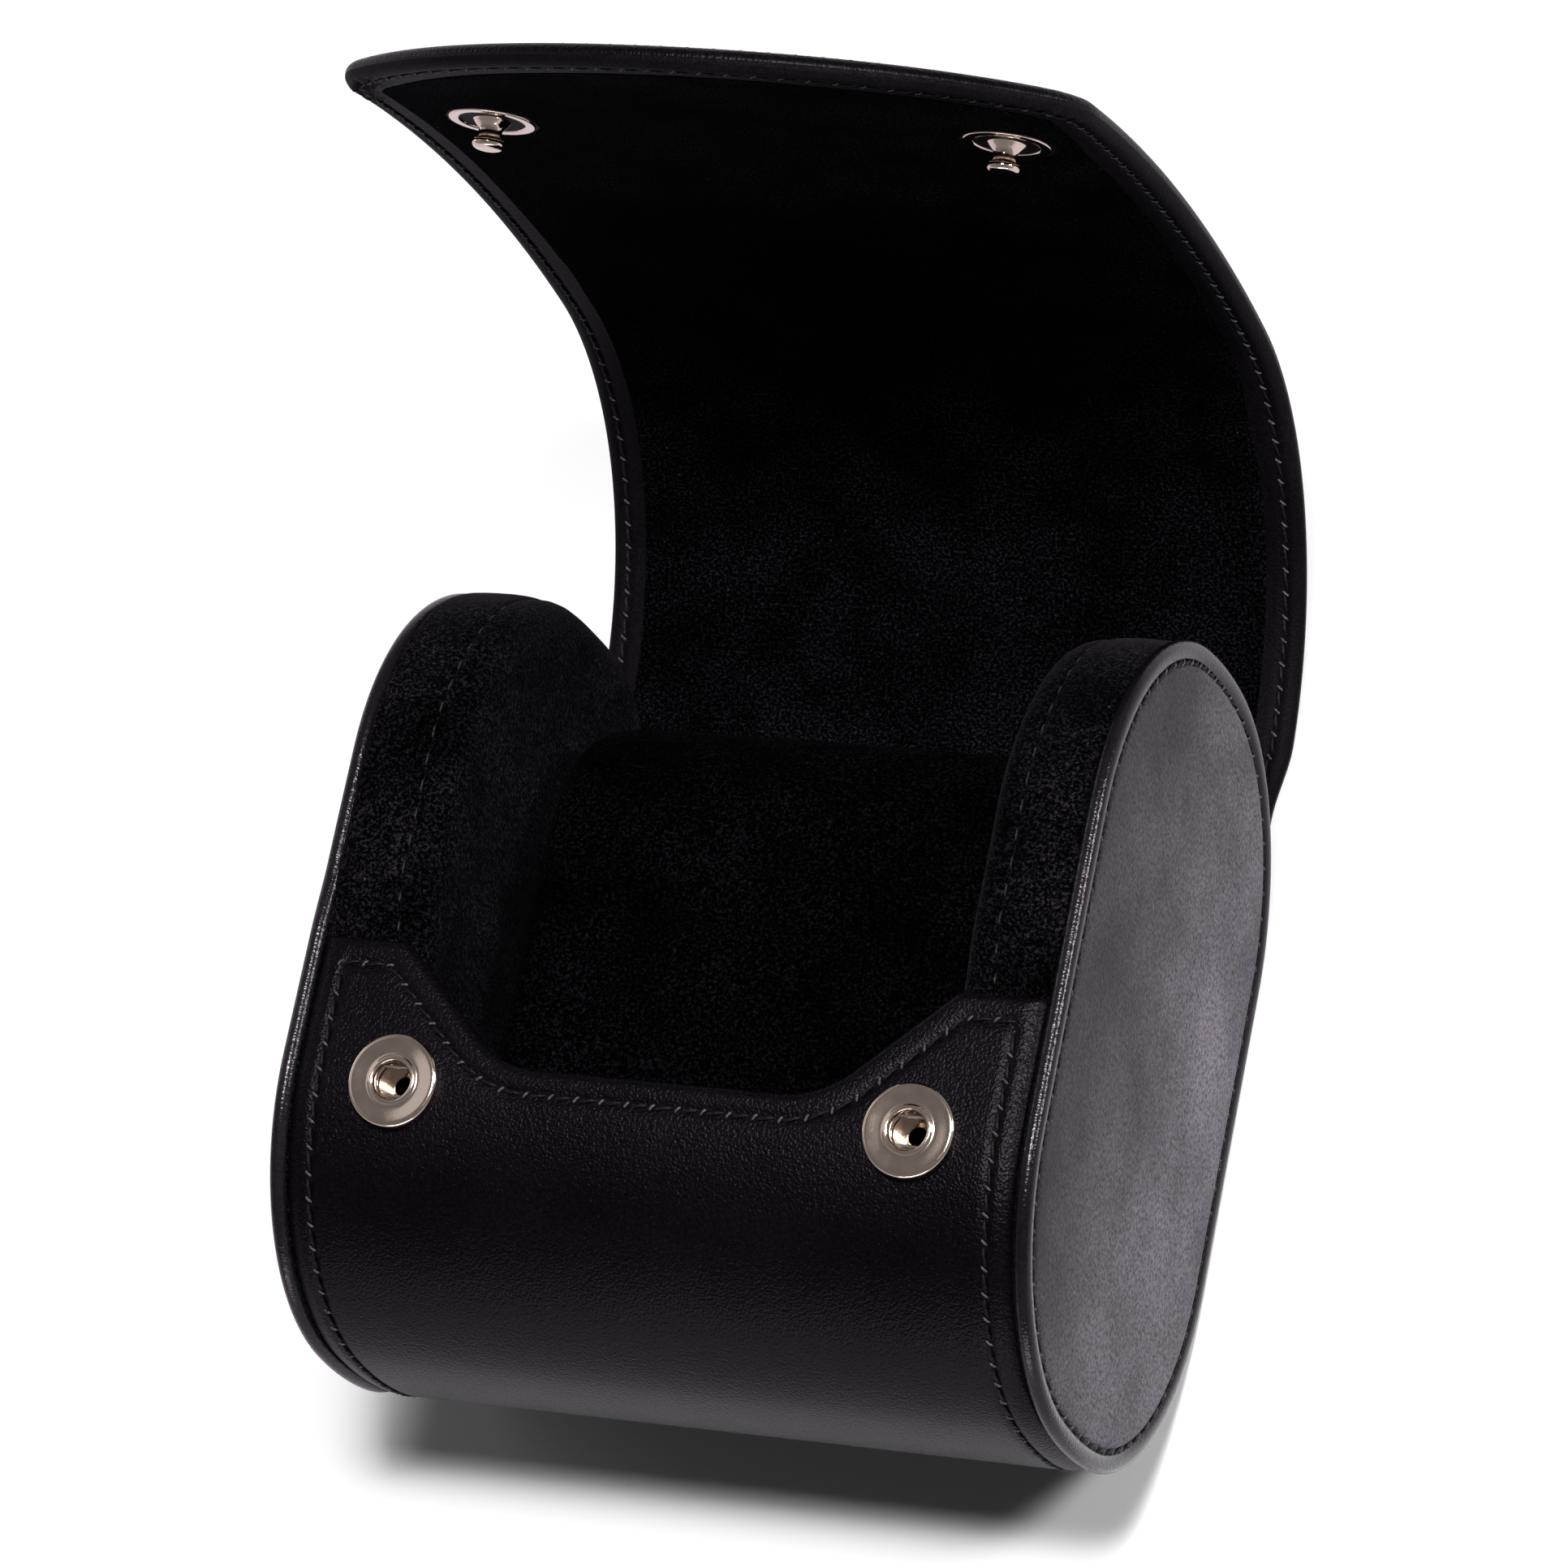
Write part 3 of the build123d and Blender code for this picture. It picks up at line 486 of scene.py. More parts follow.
def leather(name, colour, pale, rough, grain, depth, specular, tint, speck, flat=True, edge=0.0, sheen=0.0,
            shade=None):
    """Leather: edge is the wear at free edges, shade is painted light and shade, the (low, high) brightness
    from floor to top.
    """
    material, tree = blank(name)
    if flat:
        deep = put(tree, "ShaderNodeCombineXYZ", [("Z", point_value(tree, "deep"))]).outputs[0]
        place = added(tree, flat_place(tree), deep)
    else:
        place = object_place(tree)
    wear = ranged(tree, point_value(tree, "edge"), (0.0, WEAR_REACH), (edge, 0.0)) if edge else 0.0
    inputs = surface(tree, GRAIN, [
        ("Place", place), ("Colour", (*colour, 1)), ("Pale", (*pale, 1)), ("Rough", rough), ("Grain", grain),
        ("Depth", depth), ("Wear", wear), ("Speck", speck)])
    # Painted light and shade: the colour is scaled from brighter near the floor to darker at the top
    if shade:
        height = put(tree, "ShaderNodeSeparateXYZ", [(0, place)]).outputs["Z"]
        dimmed = scaled(tree, inputs[0][1], ranged(tree, height, PAINTED_SHADE_Z, shade, "SMOOTHSTEP"))
        inputs[0] = ("Base Color", dimmed)
    if sheen:
        inputs += [("Sheen Weight", sheen), ("Sheen Roughness", 0.6), ("Sheen Tint", (0.8, 0.77, 0.82, 1))]
    return finished(material, [*inputs, ("Specular IOR Level", specular), ("Specular Tint", (*tint, 1))])


def velvet(name, flat, sheen, light, specular):
    """Velvet: light is how pale the pile is."""
    material, tree = blank(name)
    place = flat_place(tree) if flat else object_place(tree)
    inputs = surface(tree, NAP, [("Place", place), ("Light", light)])
    inputs += [("Sheen Weight", sheen), ("Sheen Roughness", 0.28), ("Sheen Tint", (0.62, 0.55, 0.67, 1))]
    return finished(material, [*inputs, ("Specular IOR Level", specular)])


def metal(name, colour, rough):
    """Plated metal with faint clouds and scratches."""
    material, tree = blank(name)
    cloud = noise(tree, object_place(tree), 650.0, 4.0, 0.6)
    scratch = noise(tree, object_place(tree), 5200.0)
    return finished(material, [
        ("Base Color", ramped(tree, cloud, [value * 0.86 for value in colour], colour)), ("Metallic", 1.0),
        ("Roughness", ranged(tree, cloud, (0.0, 1.0), (rough * 0.6, rough * 1.5))),
        ("Normal", bumped(tree, scratch, 0.05, 0.0001))])


def thread(name, dark, pale, rough):
    """Waxed thread with the streaks of its plies."""
    material, tree = blank(name)
    ply = noise(tree, object_place(tree), 3000.0, 3.0)
    return finished(material, [
        ("Base Color", ramped(tree, ply, dark, pale, 0.3, 0.7)), ("Roughness", rough),
        ("Normal", bumped(tree, ply, 0.5, 0.0002)), ("Specular IOR Level", 0.08)])


def needle_hole():
    """Near-black, matte painted shade of a needle hole."""
    material, tree = blank("needle_hole")
    cloud = noise(tree, object_place(tree), 2000.0)
    colour = ramped(tree, cloud, (0.0012, 0.0012, 0.0013), (0.003, 0.003, 0.0032))
    return finished(material, [("Base Color", colour), ("Roughness", 0.95), ("Specular IOR Level", 0.05)])


SMOOTH = leather("smooth_leather", (0.0010, 0.0007, 0.0012), (0.0030, 0.0022, 0.0034), rough=0.32,
                 grain=3000.0, depth=1.0, specular=0.065, tint=(0.93, 0.84, 1.0), speck=0.9, edge=0.2)
BINDING_LEATHER = leather("binding_leather", (0.0010, 0.0007, 0.0012), (0.0034, 0.0025, 0.0038), rough=0.6,
                          grain=4200.0, depth=0.8, specular=0.05, tint=(1.0, 0.85, 1.0), speck=0.9)
RIM = leather("rim_leather", (0.0030, 0.0024, 0.0033), (0.0085, 0.0068, 0.0092), rough=0.2, grain=3600.0,
              depth=0.4, specular=0.19, tint=(1.0, 0.9, 1.0), speck=0.4, flat=False)
# The discs' nubuck carries painted light and shade, brighter near the floor and darker at the top
NUBUCK = leather("matte_leather", (0.036, 0.0308, 0.0380), (0.100, 0.0865, 0.1045), rough=0.82, grain=3400.0,
                 depth=0.9, specular=0.10, tint=(1.0, 1.0, 1.0), speck=0.8, flat=False, sheen=0.04,
                 shade=(1.3, 0.36))
# One velvet in three copies: the pile is darker on the lid lining and the pillow and paler on the caps,
# painted shade and painted light
VELVET = velvet("velvet", flat=True, sheen=0.002, light=0.55, specular=0.004)
PILLOW_VELVET = velvet("pillow_velvet", flat=False, sheen=0.002, light=0.28, specular=0.005)
CAP_VELVET = velvet("cap_velvet", flat=False, sheen=0.022, light=0.85, specular=0.008)
NICKEL = metal("nickel", (0.68, 0.55, 0.47), 0.12)
STEEL = metal("spring_steel", (0.55, 0.50, 0.44), 0.2)
THREAD = thread("thread", (0.0018, 0.0017, 0.0020), (0.0050, 0.0047, 0.0054), 0.45)
# Thread of the thread ends: its pale colour is painted glint, not wear
PAINTED_GLINT_THREAD = thread("worn_thread", (0.010, 0.0095, 0.011), (0.085, 0.081, 0.090), 0.4)
SEAM_THREAD = thread("seam_thread", (0.005, 0.0046, 0.0055), (0.028, 0.026, 0.030), 0.5)
HOLE = needle_hole()


# Grid of the sheets: columns across, and rows along the run that are fine at the free edges
def runs(start, *stops):
    """Even steps from start through each (end, count), without the start itself."""
    steps = []
    for end, count in stops:
        steps.append(np.linspace(start, end, count)[1:])
        start = end
    return np.concatenate(steps)


def both_sides(half):
    """Columns of both halves from those of the right half."""
    return np.concatenate((-half[:0:-1], half))


def shares(*stops):
    """Steps in from a free edge, close together on its round, as shares of their whole reach."""
    steps = np.concatenate((RIM_STEPS, runs(RIM_STEPS[-1], *stops)))
    return steps / steps[-1]


SKIN_THICKNESS, SIDE_TRIM = 2.5, 0.06
PANEL_SEAM, LID_SEAM = 3.3, 2.3
RIM_STEPS = np.array([0, 0.05, 0.16, 0.34, 0.58, 0.88, 1.2, 1.6])
SIDE_STEPS = np.array([4.3, 3.95, 3.6, 3.3, 3.0, 2.65, 2.3, 1.9, 1.5, 1.15, 0.82, 0.54, 0.32, 0.15, 0.05, 0])
S_LOW, S_HIGH = 34.0, float(flap_s(STUD_SEAT.z - 14))
TOP_SHARES = shares((6.4, 14), (30, 22))
END_SHARES = 1 - shares((5.0, 9), (46, 50))[::-1]
MIDDLE_ROWS = runs(S_LOW, (S_ROOT - 9, 118), (S_SEAM_1, 18), (S_SEAM_2, 14), (S_HIGH, 88))

# The panel's outline by x, without its second point, which stands at the same x as the first
EDGE_X, EDGE_S = np.delete(panel_edge(0), 1, 0)[::-1].T


def panel_top(x):
    """Place along the run of the front panel's top edge."""
    return np.interp(np.abs(x), EDGE_X, EDGE_S)


def s_grid(start, stop):
    """Places along the run for each column, fitted to its start and its end."""
    top = start + (S_LOW - start) * TOP_SHARES[:, None]
    middle = np.repeat(MIDDLE_ROWS[:, None], len(start), 1)
    end = S_HIGH + (stop - S_HIGH) * END_SHARES[1:, None]
    return np.concatenate((top, middle, end))


def cells(x, s, hole):
    """Corners of a sheet's cells, apart from those in the holes that the snaps' eyelets pass through."""
    rows, columns = s.shape
    for i in range(rows - 1):
        for j in range(columns - 1):
            across, along = (x[i, j] + x[i, j + 1]) / 2, (s[i, j] + s[i + 1, j + 1]) / 2
            if math.hypot(abs(across) - SNAP_X, along - S_SNAP) >= hole:
                first = i * columns + j
                yield first, first + 1, first + columns + 1, first + columns


def roll(gap, width, drop):
    """Fall of a rolled edge: a quarter ellipse, `width` across and `drop` deep."""
    return drop * (1 - np.sqrt(np.maximum(1 - (1 - np.clip(gap / width, 0, 1)) ** 2, 0)))


def furrow(gap, depth):
    """Groove that a row of stitches pulls into the leather."""
    return depth * np.exp(-((gap / 0.55) ** 2))


# Leather: one skin from the front panel round the back to the flap
half_cols = np.concatenate((np.arange(0, 12.0, 1.0), np.arange(12.0, 41.5, 0.62), WRAP_HALF - SIDE_STEPS))
cols = both_sides(np.unique(np.round(half_cols, 4)))
start, stop = panel_top(cols), flap_end(cols * LID_HALF / WRAP_HALF)
S = s_grid(start, stop)
lid_share = smooth(S_ROOT - 4, S_ROOT + 2, S)
wrap_share = 1 - lid_share
X = cols / WRAP_HALF * half_width(S) * (1 - SIDE_TRIM / WRAP_HALF)
Y, Z, NY, NZ = profile(S)

# Distance to the nearest free edge, for its round and its wear
side_gap = np.broadcast_to((WRAP_HALF - np.abs(cols)) * (1 - SIDE_TRIM / WRAP_HALF), S.shape)
front_gap = np.maximum(stop - S, 0) / np.hypot(1, np.gradient(stop, cols))
top_gap = np.maximum(S - start, 0) / np.hypot(1, np.gradient(start, cols))
edge_gap = np.minimum(np.minimum(side_gap, front_gap), top_gap)

# Tucks of the leather round the flap's corners
CORNER_S = float(flap_s(CORNER_Z))
dx, ds = np.abs(X) - CORNER_X, S - CORNER_S
angle = np.arctan2(ds, dx)
turning = smooth(-0.5, -0.1, angle) * (1 - smooth(1.0, 1.4, angle))
corner_zone = turning * smooth(5.5, 9.5, np.hypot(dx, ds)) * (dx > 0)
tuck = np.sin(angle * 30 + 0.8 * np.sin(angle * 11 + np.sign(X)))
tuck = tuck * corner_zone * np.where(X < 0, 1.0, 0.6) * smooth(0.3, 2.0, edge_gap)

# Rolled edges and the grooves of the seams
seam_s = np.interp(np.abs(X), *panel_edge(PANEL_SEAM)[1:][::-1].T)
top_seam = np.abs(np.where(np.abs(X) < WRAP_HALF - PANEL_SEAM - 0.3, (S - seam_s) * 0.72, 9.0))
side_seam = np.abs(side_gap - PANEL_SEAM)
panel_seam = np.where(S > seam_s - 0.4, np.minimum(top_seam, side_seam), top_seam)
wrap_fall = np.maximum(roll(side_gap, 3.1, 1.55), roll(top_gap, 1.25, 1.15)) + furrow(panel_seam, 0.26)
lid_fall = roll(edge_gap, 1.7, 1.25) + furrow(edge_gap - LID_SEAM, 0.22)
rise = 0.05 * tuck - wrap_fall * wrap_share - lid_fall * lid_share
depth = SKIN_THICKNESS * wrap_share + LID_THICKNESS * lid_share + 0.38 * tuck
depth = depth - roll(edge_gap, 0.8, 0.5) * wrap_share - lid_fall * lid_share

outer = np.stack((X, Y + NY * rise, Z + NZ * rise), -1).reshape(-1, 3)
inner = np.stack((X, Y - NY * depth, Z - NZ * depth), -1).reshape(-1, 3)
count = S.size
faces = []
for a, b, c, d in cells(X, S, 3.6):
    faces += [(a, b, c, d), (a + count, d + count, c + count, b + count)]
ids = np.arange(count).reshape(S.shape)
for border in (ids[:, 0], ids[::-1, -1], ids[0, ::-1], ids[-1]):
    faces += [(int(a), int(b), int(b) + count, int(a) + count) for a, b in zip(border, border[1:])]
flat = np.stack((X, S), -1).reshape(-1, 2) * UV_PER_MM
worn_gap = np.concatenate((edge_gap.ravel(), edge_gap.ravel() + 0.25))
deep = np.concatenate((np.zeros(count), depth.ravel() * MM))
skin = mesh_object("skin", np.concatenate((outer, inner)), faces, [SMOOTH, BINDING_LEATHER],
                   np.concatenate((flat, flat)), {"edge": worn_gap, "deep": deep})
for face in skin.data.polygons:
    face.material_index = int(min(face.vertices) >= count)
split_and_bend(skin, "skin", (
    ("wrap_leather", "wrap_board"), ("hinge_leather",),
    ("lid_leather", "lid_board", "flap_leather", "flap_board")))

# Velvet lining: one sheet from inside the front panel to the flap's binding
LINING_HALF, WELL_HALF = 41.5, 34.2
half_cols = np.concatenate((np.arange(0, 25, 1.6), np.arange(25, 40, 0.7), [40.2, 40.8, 41.2, LINING_HALF]))
cols = both_sides(np.unique(half_cols)) / LINING_HALF
start = panel_top(np.abs(cols) * WELL_HALF) + 1.1
S = s_grid(start, flap_end(cols * (LID_HALF - BINDING), BINDING - 0.1))
lid_share = smooth(S_ROOT - 5, S_ROOT + 1, S)
X = cols * (WELL_HALF + (half_width(S) - BINDING + 0.1 - WELL_HALF) * lid_share)
Y, Z, NY, NZ = profile(S)
edge_gap = np.minimum((1 - np.abs(cols)) * LINING_HALF, S[-1] - S)
tucked = smooth(0, 0.9, edge_gap)
stud_gap = np.hypot(np.abs(X) - SNAP_X, S - S_STUD)
near_stud = 1 - smooth(5.0, 9.0, stud_gap)
wavy = 0.10 * np.sin(X * 0.21 + 0.05 * S) * np.sin(S * 0.13) * tucked * (1 - near_stud)
pressed = (0.12 + 0.55 * (1 - smooth(4.6, 5.4, stud_gap))) * near_stud
depth = WRAP_THICKNESS + (LID_THICKNESS + 0.12 - WRAP_THICKNESS) * lid_share
depth = depth + (wavy - pressed - 0.55 * (1 - tucked)) * lid_share
depth = depth - 0.8 * (1 - smooth(0, 1.2, S - S[:1])) * (1 - lid_share)
points = np.stack((X, Y - NY * depth, Z - NZ * depth), -1).reshape(-1, 3)
faces = other_way(cells(X, S, 2.9))
lining = mesh_object("lining", points, faces, [VELVET], np.stack((X, S), -1).reshape(-1, 2) * UV_PER_MM)
split_and_bend(lining, "velvet", (
    ("wrap_lining",), ("hinge_lining",), ("lid_lining", "flap_lining")))

# End caps: rings round the case's oval, as (x from the disc's face, inset) and (x, inset, inset at the head)
AROUND = 360
DISC_RINGS = [
    (2.05, 3.4), (2.05, 1.2), (2.0, 0.95), (1.88, 0.58), (1.65, 0.28), (1.32, 0.07), (1.0, 0.0), (0.68, 0.05),
    (0.35, 0.22), (0.12, 0.48), (0.02, 0.8), (0.0, 1.15), (0.03, 1.6), (0.12, 1.95), (0.3, 2.25), (0.62, 2.5),
    (0.76, 2.68), (0.62, 2.87), (0.3, 3.1), (0.14, 3.4), (0.07, 4.2), (0.03, 6.0), (0.0, 9.0), (0.0, 14.0),
    (0.0, 20.0), (0.0, 27.0)]
RIM_RINGS = 15
CAP_RINGS = [
    (45.62, 0.85, 0.85), (45.5, 0.9, 0.7), (45.45, 1.2, 0.5), (45.43, 2.4, 0.3), (45.3, 2.9, 0.15),
    (44.8, 3.15, -0.05), (43.6, 3.2, -0.16), (42.2, 3.2, -0.2), (40.6, 3.2, -0.2), (39.4, 3.2, -0.12),
    (38.6, 3.2, 0.0), (38.0, 3.28, 0.15), (37.75, 3.45, 0.4), (37.6, 3.62, 0.6), (37.45, 3.45, 0.45),
    (37.2, 3.28, 0.3), (36.6, 3.2, 0.35), (35.7, 3.22, 0.65), (34.9, 3.4, 1.15), (34.3, 3.7, 1.8),
    (33.9, 4.1, 2.6), (33.6, 4.6, 3.5), (33.45, 5.2, 4.5), (33.4, 6.4, 6.0), (33.4, 9.0, 8.9),
    (33.42, 14.0, 14.0), (33.45, 20.0, 20.0), (33.45, 27.0, 27.0)]


def oval_points(inset, count):
    """Points (y, z) round the case's oval, `inset` inside its rim, with their outward normals."""
    segments = 2 * ((2 * SIDE_RUN, 0), CORNER_ARC, END_ARC, CORNER_ARC)
    at = sum(length for length, radius in segments) * (np.arange(count) + 0.5) / count
    out = np.zeros((count, 4))
    start, y, z, heading = 0.0, -SIDE_RUN, inset, 0.0
    for length, radius in segments:
        here = at > start
        inside = radius - inset if radius else 0
        shrink = inside / radius if radius else 1
        dy, dz, ahead = stepped((at[here] - start) * shrink, inside, heading)
        out[here] = np.stack((y + dy, z + dz, np.sin(ahead), -np.cos(ahead)), -1)
        dy, dz, heading = stepped(length * shrink, inside, heading)
        start, y, z = start + length, y + dy, z + dz
    return out


def open_head(oval):
    """Share of the pad's swelling at points of an oval: none under the wrap, all at the head."""
    y, z = oval[:, 0], oval[:, 1]
    front = smooth(PANEL_TOP_Y + 0.2, PANEL_TOP_Y + 9.5, y) * (z > CASE_DEPTH / 2)
    back = smooth(32.0, 41.0, y) * (z <= CASE_DEPTH / 2)
    lump = 1 - 0.05 * (1 + np.sin(y * 0.31 + z * 0.17)) - 0.03 * (1 + np.sin(z * 0.43))
    return np.maximum(front, back) * lump


def ringed(name, rings, sign, material):
    """Surface through ovals, each an (x, inset, inset at the head), shut by the last of them."""
    points = []
    for x, inset, head in rings:
        oval = oval_points(inset, AROUND)
        place = oval[:, :2] + oval[:, 2:] * ((inset - head) * open_head(oval))[:, None]
        points.append(np.column_stack((np.full(AROUND, sign * x), place)))
    last = (len(rings) - 1) * AROUND
    faces = tube(len(rings), AROUND) + [tuple(range(last, last + AROUND))]
    if sign < 0:
        faces = other_way(faces)
    return mesh_object(name, np.concatenate(points), faces, [material])


LEFT_HEAD_DROP, RIM_REACH = 0.6, 2.2
for side, sign in SIDES:
    drop = LEFT_HEAD_DROP if sign < 0 else 0
    rings = [(DISC_X - x, inset, inset + drop * max(0, 1 - inset / RIM_REACH)) for x, inset in DISC_RINGS]
    disc = ringed(f"{side}_disc_skin", rings, sign, NUBUCK)
    disc.data.materials.append(RIM)
    for face in disc.data.polygons[: RIM_RINGS * AROUND]:
        face.material_index = 1
    carried(disc, "case", "matte_leather", f"{side}_cap_disc")
    cap = ringed(f"{side}_cap_velvet", CAP_RINGS, sign, CAP_VELVET)
    carried(cap, "case", "velvet", *(f"{side}_cap_{part}" for part in ("band", "lining", "core", "board")))

# Snaps: turned metal, as (radius, height), with the spring wires and eyelets of the CAD frame
SOCKET = [
    (5.6, -0.5), (5.6, 0.1), (5.6, 0.7), (5.58, 0.95), (5.5, 1.14), (5.36, 1.26), (5.15, 1.31), (4.9, 1.29),
    (4.5, 1.25), (4.1, 1.2), (3.7, 1.16), (3.4, 1.13), (3.22, 1.13), (3.08, 1.17), (2.99, 1.22), (2.9, 1.33),
    (2.78, 1.39), (2.64, 1.4), (2.5, 1.36), (2.4, 1.26), (2.33, 1.1), (2.31, 0.85), (2.3, 0.63), (2.75, 0.62),
    (3.35, 0.61), (3.4, 0.3), (3.38, 0.01), (2.75, 0.0), (2.32, -0.02), (2.3, -0.5)]
STUD = [
    (5.2, -0.68), (5.2, 0.02), (5.16, 0.13), (5.05, 0.19), (4.85, 0.2), (4.3, 0.2), (4.02, 0.18),
    (3.93, 0.08), (3.88, -0.1), (3.6, -0.18), (2.9, -0.19), (2.45, -0.16), (2.28, -0.02), (2.12, 0.2),
    (1.95, 0.42), (1.72, 0.68), (1.5, 0.92), (1.41, 1.15), (1.4, 1.6), (1.4, 2.1), (1.46, 2.22), (1.66, 2.32),
    (1.86, 2.42), (1.95, 2.56), (1.95, 2.86), (1.9, 3.06), (1.76, 3.26), (1.52, 3.4), (1.2, 3.48), (0.7, 3.5),
    (0.01, 3.5)]


def turned(name, section, origin, axis, steps=96):
    """Nickel surface of revolution of (radius, height) points about an axis."""
    across = Vector((1, 0, 0))
    up = axis.cross(across)
    points = []
    for radius, height in section:
        for k in range(steps):
            angle = 2 * math.pi * k / steps
            spoke = across * math.cos(angle) + up * math.sin(angle)
            points.append(tuple(origin + axis * height + spoke * radius))
    return mesh_object(name, points, tube(len(section), steps), [NICKEL])


for side, sign in SIDES:
    aside = Vector((sign * SNAP_X, 0, 0))
    socket = turned(f"{side}_socket_cap", SOCKET, SNAP_SEAT + aside, SNAP_AXIS)
    carried(socket, "case", "nickel", f"{side}_socket")
    stud = turned(f"{side}_stud_turned", STUD, STUD_SEAT + aside, STUD_AXIS)
    carried(stud, "flap", "nickel", f"{side}_stud", f"{side}_stud_rivet")
for name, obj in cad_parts.items():
    if name.endswith(("_spring", "_eyelet")):
        obj.data.materials.clear()
        obj.data.materials.append(STEEL if name.endswith("_spring") else NICKEL)


# Stitches: a shape on points that carry a direction and a normal
def thread_shape(name, length, thick, material):
    """A stitch: a short thread that arches out of one needle hole and into the next."""
    rings, around = 13, 8
    points = []
    for t in np.linspace(-1, 1, rings):
        swell = math.sqrt(max(1 - abs(t) ** 5, 0.04))
        for k in range(around):
            angle = 2 * math.pi * k / around
            twist = 0.045 * math.sin(angle * 2 + t * 8)
            across = (0.21 + twist) * swell * math.cos(angle)
            high = 0.2 * (1 - t * t) - 0.12 + (0.19 + twist) * swell * math.sin(angle)
            points.append((t * length / 2, across * thick, high * thick))
    return mesh_object(name, points, closed_tube(rings, around), [material])


def hole_shape():
    """A needle hole: a shallow dark almond of painted shade between two stitches."""
    around = 12
    angles = 2 * math.pi * np.arange(around) / around
    points = [(0, 0, 0.05)] + [(0.95 * math.cos(a), 0.36 * math.sin(a), 0.02) for a in angles]
    faces = [(0, 1 + k, 1 + (k + 1) % around) for k in range(around)]
    return mesh_object("hole_shape", points, faces, [HOLE])


def stitch_nodes():
    """Node group that sets a shape on every point, turned to its direction and normal."""
    tree = bpy.data.node_groups.new("stitch_row", "GeometryNodeTree")
    for label, kind in (("Geometry", "Geometry"), ("Shape", "Object"), ("Material", "Material")):
        tree.interface.new_socket(label, in_out="INPUT", socket_type=f"NodeSocket{kind}")
    tree.interface.new_socket("Geometry", in_out="OUTPUT", socket_type="NodeSocketGeometry")
    given = tree.nodes.new("NodeGroupInput").outputs
    normal, ahead = (
        put(tree, "GeometryNodeInputNamedAttribute", [("Name", name)], data_type="FLOAT_VECTOR").outputs[0]
        for name in ("nor", "tan"))
    align = "FunctionNodeAlignRotationToVector"
    stood = put(tree, align, [("Vector", normal)], axis="Z").outputs[0]
    turns = put(tree, align, [("Vector", ahead), ("Rotation", stood)], axis="X", pivot_axis="Z").outputs[0]
    shape = put(tree, "GeometryNodeObjectInfo", [("Object", given["Shape"])]).outputs["Geometry"]
    copies = put(tree, "GeometryNodeInstanceOnPoints",
                 [("Points", given["Geometry"]), ("Instance", shape), ("Rotation", turns)]).outputs[0]
    real = put(tree, "GeometryNodeRealizeInstances", [(0, copies)]).outputs[0]
    paint = put(tree, "GeometryNodeSetMaterial", [("Geometry", real), ("Material", given["Material"])])
    put(tree, "NodeGroupOutput", [(0, paint.outputs[0])])
    return tree


THREAD_SHAPE = thread_shape("thread_shape", 2.5, 1.0, THREAD)
SEAM_SHAPE = thread_shape("seam_shape", 1.76, 0.62, SEAM_THREAD)
# Thread ends: real crossing thread, painted pale as glints
KNOT_SHAPE = thread_shape("knot_shape", 1.0, 0.7, PAINTED_GLINT_THREAD)
HOLE_SHAPE, STITCH_NODES = hole_shape(), stitch_nodes()
PITCH, CAP_PITCH = 3.1, 3.4
KNOT_BACK, KNOT_SLANT = 0.2, 52


def even(points, pitch):
    """Places at even steps along a polyline, with the direction there."""
    lengths = np.concatenate(([0], np.cumsum(np.linalg.norm(np.diff(points, axis=0), axis=1))))
    count = int(lengths[-1] / pitch)
    at = lengths[-1] / count * (np.arange(count) + 0.5)
    place, ahead, behind = (
        np.stack([np.interp(at + step, lengths, line) for line in points.T], -1) for step in (0, 0.4, -0.4))
    return place, ahead - behind


def unit(vectors):
    """Vectors at length 1."""
    return vectors / np.linalg.norm(vectors, axis=1, keepdims=True)


def slanted(tangent, normal, degrees):
    """Directions turned about their normals, as saddle stitches lie."""
    angle = math.radians(degrees)
    return unit(tangent) * math.cos(angle) + np.cross(normal, unit(tangent)) * math.sin(angle)


def on_leather(place, tangent, side, lift):
    """Points, directions and normals for (x, s) places on the leather: side 1 outside, -1 inside."""
    x, s = place.T
    y, z, ny, nz = profile(s)
    out = side * lift - (0 if side > 0 else LID_THICKNESS)
    points = np.stack((x, y + ny * out, z + nz * out), -1)
    ahead = np.stack((tangent[:, 0], tangent[:, 1] * -nz, tangent[:, 1] * ny), -1)
    return points, ahead, np.stack((0 * x, side * ny, side * nz), -1)


def stitches(name, place, tangent, normal, shape, material):
    """One mesh with a shape on every point."""
    data = bpy.data.meshes.new(name)
    data.from_pydata([tuple(point) for point in place * MM], [], [])
    for label, value in (("nor", normal), ("tan", tangent)):
        attribute = data.attributes.new(label, "FLOAT_VECTOR", "POINT")
        attribute.data.foreach_set("vector", np.asarray(value, np.float32).ravel())
    obj = linked(name, data)
    modifier = obj.modifiers.new("stitch", "NODES")
    modifier.node_group = STITCH_NODES
    given = {"Shape": shape, "Material": material}
    for item in STITCH_NODES.interface.items_tree:
        if item.name in given:
            modifier[item.identifier] = given[item.name]
    baked(obj)
    obj.data.shade_smooth()
    return obj


def whole(half):
    """Line over both halves of the leather from the one over its right half."""
    return np.concatenate((half, (half[::-1] * np.array([-1, 1]))[1:]))


